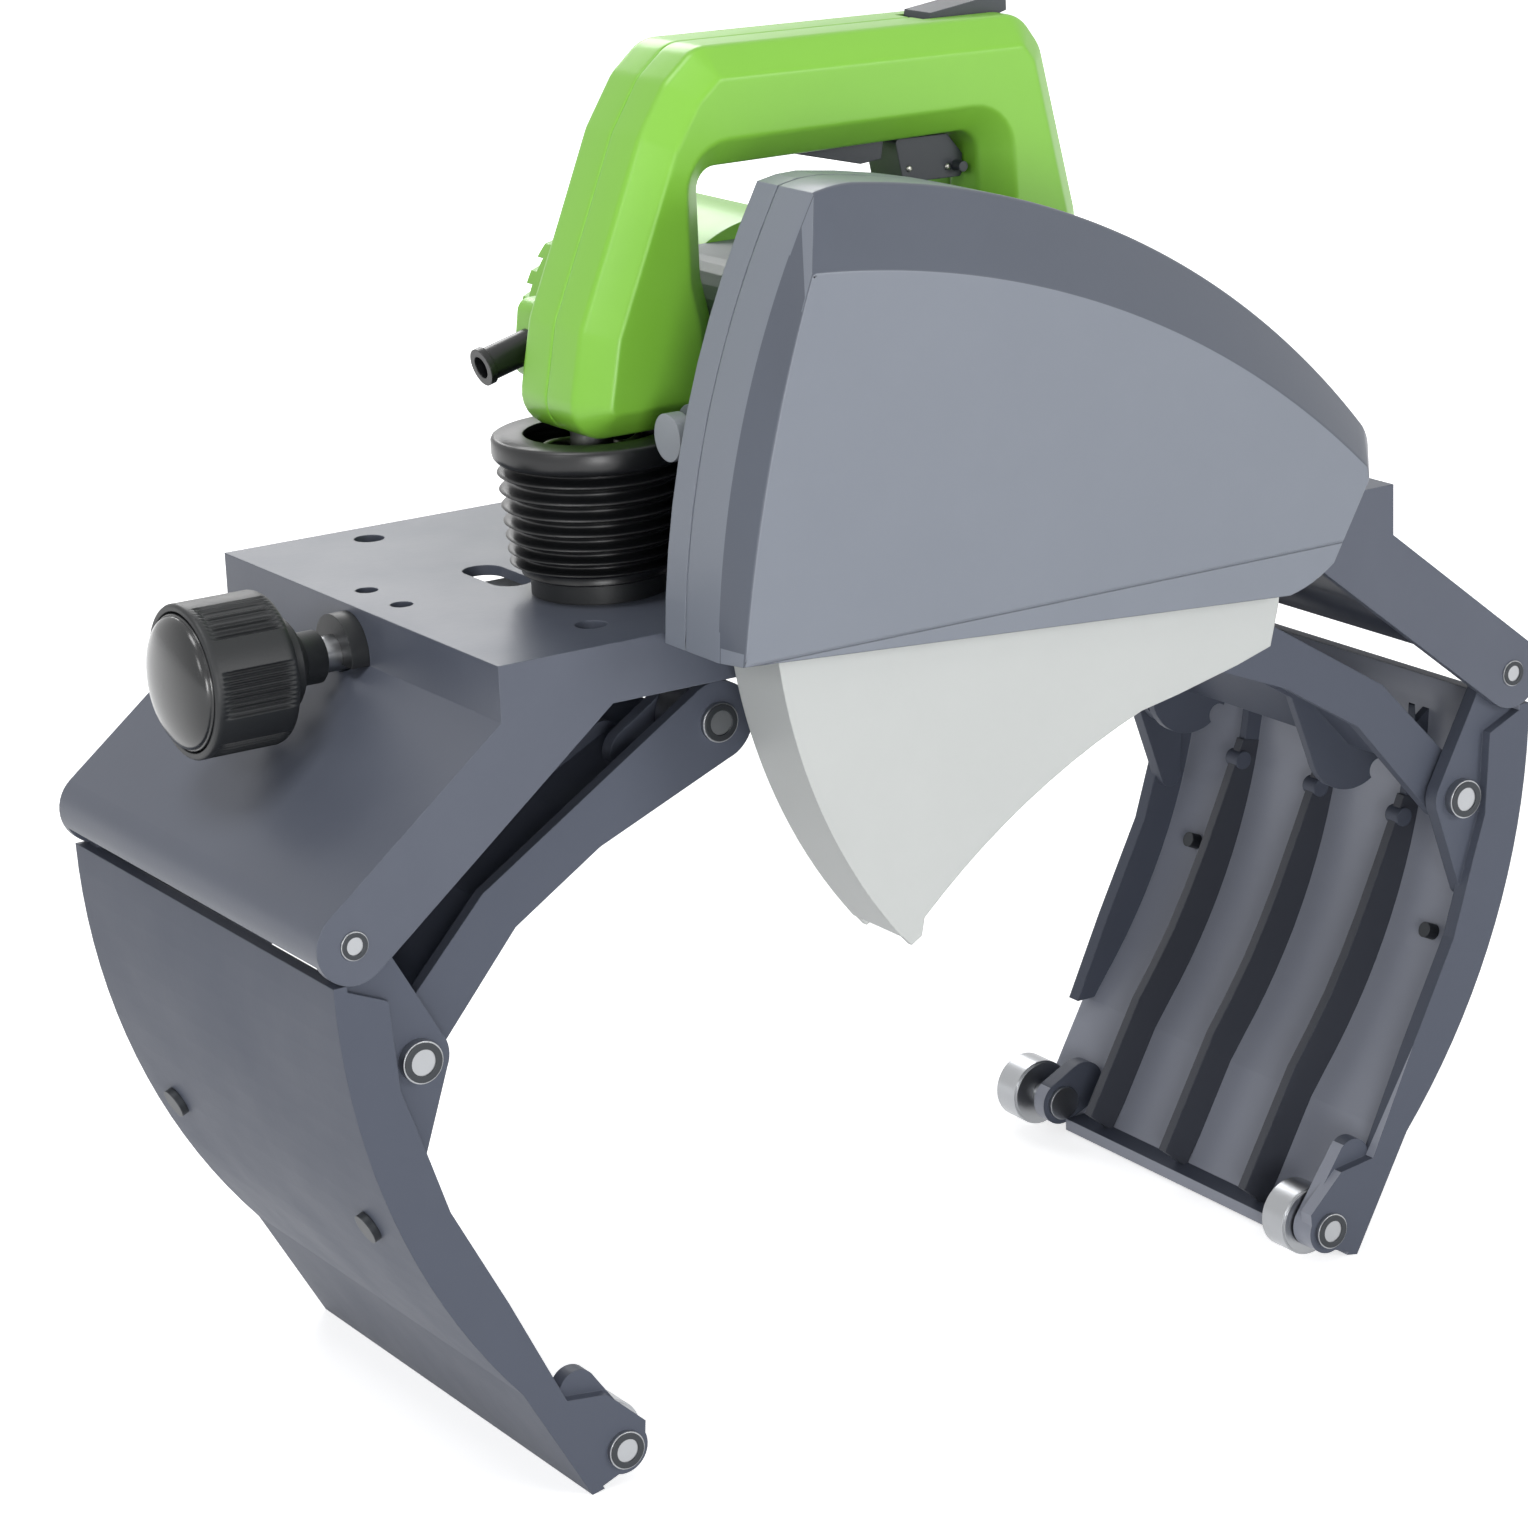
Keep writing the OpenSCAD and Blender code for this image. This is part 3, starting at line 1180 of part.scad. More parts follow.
module carbon_brushes() color(knob_color) on_pipe() for (s = [-1, 1])
    translate([motor_axis.x + s * (commutator_r + brush_room) - (s < 0 ? brush.x : 0), brush_y,
        motor_axis.y - brush.z / 2]) cube(brush);

// Handle

handle_outline = rounded(handle_points, handle_rounds, 3);

module handle_half_shell() {
    flat = handle_half - handle_bevel;
    room = flat - shell_wall / 2;
    inner = inset(handle_outline, shell_wall);
    face = inset(handle_outline, handle_bevel);
    difference() {
        loft([handle_outline, handle_outline, face], [0, flat, handle_half]);
        loft([inner, inner, face], [-over, room, handle_half - shell_wall]);
    }
}

// What is cut from both halves: the post's bore and the room for the trigger and the lever
module handle_cuts() {
    at_bellows(handle_base - over) cylinder(d = post_bore_d, h = shell_wall + 3 * over);
    translate([trigger_pivot.x - 9, handle_y - trigger_w / 2 - pass_gap, grip_low - over])
        cube([38, trigger_w + 2 * pass_gap, 3 * shell_wall]);
    translate([lever_pivot.x - 5, handle_y - lever_w / 2 - pass_gap, handle_top - 4 * shell_wall])
        cube([34, lever_w + 2 * pass_gap, 5 * shell_wall]);
    rod(lock_pivot, 1.5 + seat_gap, handle_face, handle_back);
    rod(lever_pivot, 1.5 + run_gap, handle_y - lever_w / 2 - 4, handle_y + lever_w / 2 + 4);
    for (p = handle_screws) rod(p, 2 + seat_gap, handle_face + 4, handle_back + over);
}

// Small cheeks on the leg, which hold the trigger lock's pin
module lock_cheek() tie(lock_pivot, lock_pivot + [6.5, 0], 4, 4);
module lever_cheek() tie(lever_pivot, lever_pivot + [0, 1], 3.2, 3.2);

module handle_front() color(handle_color) on_pipe() difference() {
    union() {
        translate([0, handle_y, 0]) rotate([90, 0, 0]) handle_half_shell();
        slab(handle_y - lock_w / 2 - 3.4, handle_y - lock_w / 2 - 0.4) lock_cheek();
        slab(handle_y - lever_w / 2 - 3.6, handle_y - lever_w / 2 - 0.6) lever_cheek();
        for (p = handle_screws) rod(p, 4.5, handle_face + 2.5, handle_y);
    }
    handle_cuts();
}

module handle_rear() color(handle_color) on_pipe() difference() {
    union() {
        translate([0, handle_y, 0]) mirror([0, 1, 0]) rotate([90, 0, 0]) handle_half_shell();
        slab(handle_y + lock_w / 2 + 0.4, handle_y + lock_w / 2 + 3.4) lock_cheek();
        slab(handle_y + lever_w / 2 + 0.6, handle_y + lever_w / 2 + 3.6) lever_cheek();
        for (p = handle_screws) rod(p, 4.5, handle_y, handle_back - 2.5);
        slab(handle_back - handle_bevel, handle_back + 14) polygon(rounded(
            [[-94, handle_base + 9.7], [-64, handle_base + 9.7], [-64, handle_base + 31.7],
                [-91, handle_base + 31.7]], 4));
    }
    handle_cuts();
    for (p = handle_screws) rod(p, 3.6 + seat_gap, handle_back - 1, handle_back + over);
    at_sleeve() cylinder(r = sleeve_d / 2 + seat_gap, h = 22);
}

module at_sleeve() translate([-80, sleeve_y, handle_base + 22.3]) rotate([0, -105, 0]) children();

module cord_sleeve() color(knob_color) on_pipe() at_sleeve() difference() {
    union() {
        cylinder(d = sleeve_d, h = sleeve_len);
        translate([0, 0, sleeve_len - 2]) cylinder(d = sleeve_d + 1.4, h = 2);
    }
    translate([0, 0, -over]) cylinder(d = 0.68 * sleeve_d, h = sleeve_len + 2 * over);
}

module switch() color("#2C2F33") on_pipe() difference() {
    union() {
        slab(handle_y - 11, handle_y + 11) translate(trigger_pivot + [-3, 5]) square([34, 14]);
        for (s = [-1, 1]) slab(handle_y + s * 9.6 - 1.4, handle_y + s * 9.6 + 1.4)
            tie(trigger_pivot, trigger_pivot + [0, 7], 4, 4);
    }
    rod(trigger_pivot, 2 + run_gap, handle_y - 12, handle_y + 12);
}

module trigger() color("#3A3E44") on_pipe() {
    slab(handle_y - trigger_w / 2, handle_y + trigger_w / 2) {
        translate(trigger_pivot) circle(3.8);
        polygon([trigger_pivot + [-3, -3], trigger_pivot + [-4, -8], trigger_pivot + [20, -14],
            trigger_pivot + [27, -13.4], trigger_pivot + [28, -7.6], trigger_pivot + [26, 1.2],
            trigger_pivot + [3, 2.6]]);
    }
    rod(trigger_pivot, 2, handle_y - 11, handle_y + 11);
}

module trigger_lock() color("#43474F") on_pipe() {
    slab(handle_y - lock_w / 2, handle_y + lock_w / 2) polygon(rounded(
        [lock_pivot + [-18, -3], lock_pivot + [2, -3.4], lock_pivot + [2.4, 3], lock_pivot + [-2.6, 9.2],
         lock_pivot + [-20.5, 9.6]], 1.2));
    rod(lock_pivot, 1.5, handle_y - lock_w / 2 - 4, handle_y + lock_w / 2 + 4);
}

module unlock_lever() color("#3A3E44") on_pipe() {
    slab(handle_y - lever_w / 2, handle_y + lever_w / 2) {
        translate(lever_pivot) circle(3);
        polygon([lever_pivot + [-3, 1], lever_pivot + [3, -2], lever_pivot + [24, 3.6],
            lever_pivot + [24, 9.2], lever_pivot + [12, 7.2], lever_pivot + [-2, 5.4]]);
    }
    rod(lever_pivot, 1.5, handle_y - lever_w / 2 - 3.4, handle_y + lever_w / 2 + 3.4);
}

module saw_screws() color(steel_color) on_pipe() {
    for (p = handle_screws) {
        rod(p, 2, handle_face + 6, handle_back - 1);
        rod(p, 3.6, handle_back - 1, handle_back + 1.2);
    }
    for (p = guard_screws) {
        rod(p, guard_screw_d / 2, guard_rim + 6, guard_back + 1);
        rod(p, guard_screw_d / 2 + 1.6, guard_back, guard_back + 2.2);
    }
}

top_frame();
screw_bearing();
arm_pivot_pins();
hinge_bracket();
hinge_pin();
frame_screws();
bellows_base();
lock_post();
bellows();
lift_spring();
clamp_screw();
clamp_knob();
knob_cap();
left_nut();
right_nut();
left_arm();
right_arm();
left_arm_fasteners();
right_arm_fasteners();
left_link();
right_link();
left_centre_pins();
right_centre_pins();
tip_roller_left_front();
tip_roller_left_rear();
tip_roller_right_front();
tip_roller_right_rear();
centre_roller_left_front();
centre_roller_left_rear();
centre_roller_right_front();
centre_roller_right_rear();
gear_housing();
guard_rear_shell();
guard_front_cover();
lower_guard();
guard_spring();
guard_pivot();
spindle();
saw_bearings();
drive_gear();
inner_flange();
saw_blade();
outer_flange();
blade_bolt();
motor_housing();
motor_end_cap();
field_coil();
armature();
cooling_fan();
carbon_brushes();
handle_front();
handle_rear();
switch();
trigger();
trigger_lock();
unlock_lever();
spindle_lock();
cord_sleeve();
saw_screws();
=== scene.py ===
"""Dresses the electric pipe cutter: finishes, soft pieces, detailed shells, studio and camera.

Lengths given to the classes are millimetres; everything that reaches Blender is in metres.
Heights marked "over the pivots" are counted from the arm pivots, as the frame's own drawing is.
"""
import json
import logging
import math
from dataclasses import dataclass, field
from enum import Enum
from typing import Any, Callable, Sequence

import bmesh
import bpy
from bpy.types import ID, Material, Node, NodeSocket, NodeTree, Object
from mathutils import Matrix, Vector

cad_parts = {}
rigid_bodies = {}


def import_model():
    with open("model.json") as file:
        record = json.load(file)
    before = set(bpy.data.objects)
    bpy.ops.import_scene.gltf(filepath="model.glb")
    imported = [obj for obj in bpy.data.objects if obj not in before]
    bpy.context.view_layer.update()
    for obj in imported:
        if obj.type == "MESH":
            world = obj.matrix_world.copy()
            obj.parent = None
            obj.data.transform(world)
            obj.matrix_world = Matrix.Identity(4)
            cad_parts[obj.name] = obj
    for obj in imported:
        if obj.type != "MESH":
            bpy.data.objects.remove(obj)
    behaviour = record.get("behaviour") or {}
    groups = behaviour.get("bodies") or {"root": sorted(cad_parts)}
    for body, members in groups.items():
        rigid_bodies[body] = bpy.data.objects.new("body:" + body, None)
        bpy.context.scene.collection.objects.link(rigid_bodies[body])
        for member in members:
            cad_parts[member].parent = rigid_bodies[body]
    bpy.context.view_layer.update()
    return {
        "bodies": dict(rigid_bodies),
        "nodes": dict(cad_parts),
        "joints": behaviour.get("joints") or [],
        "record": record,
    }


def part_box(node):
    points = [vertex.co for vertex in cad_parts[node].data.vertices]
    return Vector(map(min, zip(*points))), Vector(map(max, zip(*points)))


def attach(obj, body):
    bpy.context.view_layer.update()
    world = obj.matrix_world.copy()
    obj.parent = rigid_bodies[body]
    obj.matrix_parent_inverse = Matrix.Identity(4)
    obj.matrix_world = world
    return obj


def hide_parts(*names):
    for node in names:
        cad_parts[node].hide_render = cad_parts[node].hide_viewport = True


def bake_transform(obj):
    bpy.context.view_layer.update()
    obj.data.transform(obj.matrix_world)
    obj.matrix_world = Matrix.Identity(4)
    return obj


log = logging.getLogger("pipe_cutter")
MM = 0.001
# Sizes in mm of the slow drift in colour and gloss, and of the patches in which edges are rubbed
DRIFT = 38
PATCH = 6

Point = tuple[float, float]
Place = tuple[float, float, float]
Mesh = tuple[list[Vector], list[list[int]]]
Ring = tuple[Sequence[Vector], float]


def linear(code: str) -> tuple[float, float, float, float]:
    """Turns an sRGB hex code into the linear colour that the shaders take.

    Args:
        code: the colour as "#RRGGBB".

    Returns:
        Red, green, blue and an alpha of 1, linear.
    """
    channels = [int(code[i:i + 2], 16) / 255 for i in (1, 3, 5)]
    return tuple(c / 12.92 if c <= 0.04045 else ((c + 0.055) / 1.055) ** 2.4 for c in channels) + (1.0,)


def add_node(tree: NodeTree, kind: str, inputs: dict[Any, Any] | None = None,
             **settings: Any) -> Node:
    """Adds one shader node, sets it up and links it.

    Args:
        tree: the tree that gets the node.
        kind: the node's type name.
        inputs: socket name or number to a value, or to the output socket that feeds it.
        settings: the node's own properties.

    Returns:
        The new node.
    """
    node = tree.nodes.new(kind)
    for name, value in settings.items():
        setattr(node, name, value)
    for name, value in (inputs or {}).items():
        if isinstance(value, NodeSocket):
            tree.links.new(value, node.inputs[name])
        else:
            node.inputs[name].default_value = value
    return node


class Surface(Enum):
    """How a surface was made, which decides the pattern of its fine relief."""

    SPRAYED = "sprayed"      # powder coat or paint: soft orange peel
    MOULDED = "moulded"      # spark-eroded mould: fine, even pits
    CAST = "cast"            # die cast: broad unevenness
    TURNED = "turned"        # fine rings round the part's own axis
    GROUND = "ground"        # straight fine scratches
    WOUND = "wound"          # turns of enamelled wire


@dataclass(frozen=True)
class Finish:
    """One real finish, in typical values for its material.

    Attributes:
        name: the finish's plain name.
        colour: base colour, sRGB hex.
        worn: colour that the edges rub to, sRGB hex.
        surface: how it was made.
        grain: size of its fine relief in mm.
        relief: depth of that relief in mm.
        roughness: shader roughness of the clean surface.
        metallic: 1 for bare metal, a third for paint with metal flake, else 0.
        wear: how much the edges show, 0 to 1.
        mottle: how far the colour drifts over the surface, 0 to 1.
        coat: weight of a clear coat.
        ior: index of refraction of a surface that isn't metal.
        edge: radius in mm of the rounding that catches the light along edges.
    """

    name: str
    colour: str
    worn: str
    surface: Surface
    grain: float
    relief: float
    roughness: float
    metallic: float = 0.0
    wear: float = 0.25
    mottle: float = 0.06
    coat: float = 0.0
    ior: float = 1.5
    edge: float = 0.5

    def material(self) -> Material:
        """Builds the finish's node tree, once.

        Returns:
            The finish's material.
        """
        known = bpy.data.materials.get(self.name)
        if known is not None:
            return known
        made = bpy.data.materials.new(self.name)
        made.use_nodes = True
        tree = made.node_tree
        tree.nodes.clear()
        place = add_node(tree, "ShaderNodeTexCoord").outputs["Object"]
        rounded = add_node(tree, "ShaderNodeBevel", {"Radius": self.edge * MM}, samples=4)
        grain = self._grain(tree, place)
        bump = add_node(tree, "ShaderNodeBump", {
            "Height": grain, "Distance": self.relief * MM, "Strength": 0.6,
            "Normal": rounded.outputs["Normal"]})
        drift = add_node(tree, "ShaderNodeTexNoise", {
            "Vector": place, "Scale": 1 / (DRIFT * MM), "Detail": 4.0, "Roughness": 0.62})
        blotch = add_node(tree, "ShaderNodeMapRange", {
            "Value": drift.outputs["Fac"], "From Min": 0.3, "From Max": 0.7, "To Max": self.mottle})
        base = add_node(tree, "ShaderNodeMix", {
            0: blotch.outputs["Result"], 6: linear(self.colour), 7: linear(self.worn)}, data_type="RGBA")
        edge = self._edge(tree, rounded.outputs["Normal"], place)
        colour = add_node(tree, "ShaderNodeMix", {
            0: edge, 6: base.outputs[2], 7: linear(self.worn)}, data_type="RGBA")
        rough = add_node(tree, "ShaderNodeMapRange", {
            "Value": drift.outputs["Fac"], "From Min": 0.25, "From Max": 0.75,
            "To Min": self.roughness * 0.9, "To Max": min(1.0, self.roughness * 1.16)})
        shader = add_node(tree, "ShaderNodeBsdfPrincipled", {
            "Base Color": colour.outputs[2], "Roughness": rough.outputs["Result"], "Metallic": self.metallic,
            "Normal": bump.outputs["Normal"], "Coat Weight": self.coat, "Coat Roughness": 0.18})
        if self.metallic < 1:
            shader.inputs["IOR"].default_value = self.ior
        add_node(tree, "ShaderNodeOutputMaterial", {"Surface": shader.outputs["BSDF"]})
        return made

    def _edge(self, tree: NodeTree, rounded: NodeSocket, place: NodeSocket) -> NodeSocket:
        """Finds the rubbed edges, where the rounded normal leaves the flat one.

        Args:
            tree: the material's tree.
            rounded: the rounded normal.
            place: where the surface is.

        Returns:
            A mask from 0 to the finish's wear.
        """
        flat = add_node(tree, "ShaderNodeNewGeometry").outputs["True Normal"]
        dot = add_node(tree, "ShaderNodeVectorMath", {0: rounded, 1: flat}, operation="DOT_PRODUCT")
        bent = add_node(tree, "ShaderNodeMapRange", {
            "Value": dot.outputs["Value"], "From Min": 0.995, "From Max": 0.9, "To Max": self.wear})
        patches = add_node(tree, "ShaderNodeTexNoise", {
            "Vector": place, "Scale": 1 / (PATCH * MM), "Detail": 3.0})
        spots = add_node(tree, "ShaderNodeMapRange", {
            "Value": patches.outputs["Fac"], "From Min": 0.38, "From Max": 0.62, "To Min": 0.35})
        return add_node(tree, "ShaderNodeMath", {
            0: bent.outputs["Result"], 1: spots.outputs["Result"]}, operation="MULTIPLY").outputs[0]

    def _grain(self, tree: NodeTree, place: NodeSocket) -> NodeSocket:
        """Draws the fine relief that the way of making leaves.

        Args:
            tree: the material's tree.
            place: where the surface is.

        Returns:
            The relief's height, 0 to 1.
        """
        scale = 1 / (self.grain * MM)
        if self.surface in (Surface.TURNED, Surface.GROUND, Surface.WOUND):
            stretch = {Surface.TURNED: (0.04, 1.0, 0.04), Surface.GROUND: (1.0, 0.06, 0.06),
                       Surface.WOUND: (1.0, 1.0, 0.1)}[self.surface]
            along = add_node(tree, "ShaderNodeVectorMath", {0: place, 1: stretch},
                             operation="MULTIPLY").outputs[0]
            return add_node(tree, "ShaderNodeTexNoise", {
                "Vector": along, "Scale": scale, "Detail": 2.0}).outputs["Fac"]
        if self.surface is Surface.MOULDED:
            return add_node(tree, "ShaderNodeTexVoronoi", {
                "Vector": place, "Scale": scale}, feature="SMOOTH_F1").outputs["Distance"]
        detail = 5.0 if self.surface is Surface.CAST else 2.0
        return add_node(tree, "ShaderNodeTexNoise", {
            "Vector": place, "Scale": scale, "Detail": detail}).outputs["Fac"]


# Powder-coated pressed steel: slate, with the soft sheen and faint orange peel of a baked coat.
FRAME_PAINT = Finish("slate_powder_coat_on_steel", "#5A5F6C", "#8C929C", Surface.SPRAYED, 1.6, 0.03, 0.36,
                     wear=0.3, ior=1.4)
# The same coat on die-cast arms: a little darker, uneven where the casting is.
ARM_PAINT = Finish("slate_powder_coat_on_casting", "#565B68", "#7A808C", Surface.CAST, 2.6, 0.05, 0.5,
                   wear=0.3, ior=1.3)
# Thinner, glossier coat on the inside of the arms' shells, painted paler: painted light for the hollow,
# which lies in shade.
ARM_INSIDE_PAINTED_LIGHT = Finish("slate_coat_inside_arms_painted_paler", "#A2A6B3", "#B2B6C2", Surface.CAST, 2.6, 0.04, 0.34,
                    wear=0.2)
# Painted shade on the arms' ribs: a dark colour for the shade on their sides, guessed from how dark they
# look in the photograph.
RIB_PAINTED_SHADE = Finish("painted_shade_on_ribs", "#3E414A", "#5A5E68", Surface.CAST, 2.6, 0.05, 0.5)
# Satin paint on the magnesium guard: paler and smoother than the frame.
GUARD_PAINT = Finish("satin_grey_paint_on_magnesium", "#7E848F", "#A4A9B2", Surface.SPRAYED, 1.2, 0.03, 0.4,
                     wear=0.3, coat=0.12)
# Darker slate coat on the guard cover's bevels.
BEVEL_PAINT = Finish("slate_paint_on_cover_bevel", "#565C68", "#7A808B", Surface.SPRAYED, 1.2, 0.03, 0.38,
                     wear=0.3, coat=0.12)
# Painted gear case behind the handle.
CASE_PAINT = Finish("satin_grey_paint_on_case", "#70757F", "#9398A1", Surface.CAST, 2.2, 0.06, 0.44)
# Die-cast aluminium, tumbled: pale, dull, slightly blotchy.
CAST_ALUMINIUM = Finish("tumbled_die_cast_aluminium", "#C9CCCA", "#E2E4E2", Surface.CAST, 1.4, 0.04, 0.44,
                        mottle=0.12)
# Glass-filled nylon, moulded black: matt with a leathery fine texture.
BLACK_NYLON = Finish("moulded_black_nylon", "#1D1F21", "#3A3D40", Surface.MOULDED, 0.7, 0.03, 0.46, wear=0.3)
# Moulded nitrile rubber: black with a soft broad sheen.
BLACK_RUBBER = Finish("moulded_nitrile_rubber", "#141517", "#2C2E30", Surface.MOULDED, 0.9, 0.012, 0.33,
                      wear=0.2, ior=1.52)
# Polished nylon of the knob's dome, straight from a bright mould.
POLISHED_NYLON = Finish("polished_black_nylon", "#191B1D", "#303336", Surface.MOULDED, 0.9, 0.006, 0.2,
                        wear=0.2, coat=0.4)
# Black-oxide steel: the screws sunk in the arms; also the dark rings on the pins' ends, which are painted
# shade of the groove round each end.
OXIDE_STEEL_AND_PAINTED_SHADE = Finish("black_oxide_steel_and_painted_shade", "#3B3E42", "#6A6D70", Surface.CAST, 0.8, 0.01, 0.42, metallic=0.6)
# Green ABS housing: bright, satin, with a faint moulded texture.
GREEN_ABS = Finish("moulded_green_abs", "#8BD141", "#AEE670", Surface.MOULDED, 0.8, 0.015, 0.36, wear=0.3,
                   mottle=0.08, coat=0.08, ior=1.53)
# Dark grey acetal levers: smooth, waxy.
DARK_ACETAL = Finish("moulded_dark_acetal", "#3A3E45", "#5A5F66", Surface.MOULDED, 0.6, 0.012, 0.4, ior=1.48)
# Pale button of moulded acetal.
PALE_ACETAL = Finish("moulded_pale_acetal", "#9A9FA6", "#B9BDC2", Surface.MOULDED, 0.6, 0.01, 0.35, ior=1.48)
# Turned bright steel: rollers, pins and screw, with rings too fine to see drawn at half a millimetre.
TURNED_STEEL = Finish("turned_bright_steel", "#A9ABAE", "#CDCFD1", Surface.TURNED, 0.5, 0.012, 0.3,
                      metallic=1.0, mottle=0.15)
# Zinc-plated screws: slightly duller and warmer than bare steel.
PLATED_STEEL = Finish("zinc_plated_steel", "#B4B3AC", "#CFCEC8", Surface.CAST, 0.8, 0.01, 0.34, metallic=1.0,
                      mottle=0.2)
# Oiled gear steel: darker.
GEAR_STEEL = Finish("oiled_hobbed_steel", "#8E8A80", "#A8A498", Surface.GROUND, 0.5, 0.01, 0.3, metallic=1.0)
# Ground saw plate, with straight grinding marks drawn coarse enough to show.
BLADE_STEEL = Finish("ground_saw_steel", "#C9CBCD", "#E2E3E4", Surface.GROUND, 0.6, 0.01, 0.28, metallic=1.0)
# Enamelled copper winding, a row of turns.
COPPER_WIRE = Finish("enamelled_copper_wire", "#9A4E22", "#C07038", Surface.WOUND, 0.9, 0.2, 0.35)

FINISH_OF: dict[Finish, tuple[str, ...]] = {
    FRAME_PAINT: ("top_frame", "hinge_bracket"),
    ARM_PAINT: ("left_arm", "right_arm", "left_link", "right_link"),
    GUARD_PAINT: ("guard_rear_shell", "guard_front_cover"),
    CASE_PAINT: ("gear_housing",),
    CAST_ALUMINIUM: ("lower_guard",),
    BLACK_NYLON: ("screw_bearing", "clamp_knob", "knob_cap", "bellows_base", "carbon_brushes", "cooling_fan",
                  "switch"),
    BLACK_RUBBER: ("bellows", "cord_sleeve"),
    GREEN_ABS: ("motor_housing", "motor_end_cap", "handle_front", "handle_rear"),
    DARK_ACETAL: ("trigger", "trigger_lock", "unlock_lever"),
    PALE_ACETAL: ("spindle_lock",),
    PLATED_STEEL: ("frame_screws", "saw_screws", "hinge_pin", "lift_spring", "guard_spring"),
    GEAR_STEEL: ("drive_gear", "armature"),
    BLADE_STEEL: ("saw_blade",),
    COPPER_WIRE: ("field_coil",),
}


def put(name: str, data: ID) -> Object:
    """Puts data into the scene.

    Args:
        name: the new object's name.
        data: its mesh, lamp or camera.

    Returns:
        The object.
    """
    made = bpy.data.objects.new(name, data)
    bpy.context.scene.collection.objects.link(made)
    return made


def mesh_piece(name: str, skin: Mesh, finish: Finish, body: str, smooth: bool = True) -> Object:
    """Makes a piece and puts it on a body.

    Args:
        name: the piece's name.
        skin: its points, in metres in the row frame, and its faces.
        finish: what it is made of.
        body: the body that it rides on, or nothing for a piece that rides on no body.
        smooth: whether its faces shade smoothly.

    Returns:
        The new object.
    """
    mesh = bpy.data.meshes.new(name)
    mesh.from_pydata(skin[0], [], skin[1])
    shell = bmesh.new()
    shell.from_mesh(mesh)
    bmesh.ops.recalc_face_normals(shell, faces=shell.faces)
    shell.to_mesh(mesh)
    shell.free()
    for face in mesh.polygons:
        face.use_smooth = smooth
    mesh.materials.append(finish.material())
    piece = put(name, mesh)
    if body:
        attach(piece, body)
    log.info("%s on %s", name, body or "no body yet")
    return piece


def tube_mesh(path: Sequence[Vector], radius: Callable[[int], float], sides: int) -> Mesh:
    """Sweeps a round section along points.

    Args:
        path: the points of the middle line, in metres.
        radius: the section's radius at each point, in metres.
        sides: how many sides the section has.

    Returns:
        The points and faces of a closed tube.
    """
    points: list[Vector] = []
    faces: list[list[int]] = []
    normal = Vector((0, 0, 1))
    last = len(path) - 1
    for i, centre in enumerate(path):
        ahead = (path[min(last, i + 1)] - path[max(0, i - 1)]).normalized()
        across = ahead.cross(normal)
        across = across.normalized() if across.length > 1e-6 else Vector((1, 0, 0))
        up = across.cross(ahead).normalized()
        normal = up
        for s in range(sides):
            turn = math.tau * s / sides
            points.append(centre + radius(i) * (across * math.cos(turn) + up * math.sin(turn)))
        if i:
            low, high = (i - 1) * sides, i * sides
            faces += [[low + s, low + (s + 1) % sides, high + (s + 1) % sides, high + s]
                      for s in range(sides)]
    faces.append(list(range(sides))[::-1])
    faces.append([last * sides + s for s in range(sides)])
    return points, faces


def spun_mesh(profile: Sequence[Point], sides: int, place: Matrix,
              radius_at: Callable[[float, float, float], float] | None = None) -> Mesh:
    """Spins a profile round its height axis.

    Args:
        profile: radius and height pairs in mm, from one end of the skin to the other.
        sides: steps round the axis.
        place: where the spun form goes, in metres.
        radius_at: changes a radius by turn in degrees and height, for flutes.

    Returns:
        The points and faces.
    """
    points: list[Vector] = []
    faces: list[list[int]] = []
    for r, h in profile:
        for s in range(sides):
            turn = 360 * s / sides
            q = radius_at(r, turn, h) if radius_at else r
            points.append(place @ (Vector((q * math.cos(math.radians(turn)),
                                           q * math.sin(math.radians(turn)), h)) * MM))
    for i in range(len(profile) - 1):
        for s in range(sides):
            a, b = i * sides + s, i * sides + (s + 1) % sides
            faces.append([a, b, b + sides, a + sides])
    return points, faces


def moved(profile: Sequence[Point], radius: float, height: float) -> list[Point]:
    """A profile's points moved out by a radius and up by a height."""
    return [(r + radius, h + height) for r, h in profile]


def ray(turn: float) -> Vector:
    """The flat direction at a turn in radians."""
    return Vector((math.cos(turn), math.sin(turn)))


def bow(start: Vector, end: Vector, radius: float, steps: int) -> list[Vector]:
    """Points of an arc from start up to end, without end.

    Args:
        start: first point, 2-D.
        end: last point, 2-D.
        radius: the arc's radius; a negative one bows to the other side.
        steps: how many points.

    Returns:
        The points.
    """
    side = math.copysign(1, radius)
    way = (end - start).normalized()
    half = (end - start).length / 2
    centre = (start + end) / 2 + side * Vector((-way.y, way.x)) * math.sqrt(radius * radius - half * half)
    sweep = side * 2 * math.asin(half / abs(radius))
    first = math.atan2(start.y - centre.y, start.x - centre.x)
    return [centre + abs(radius) * ray(first + sweep * i / steps) for i in range(steps)]


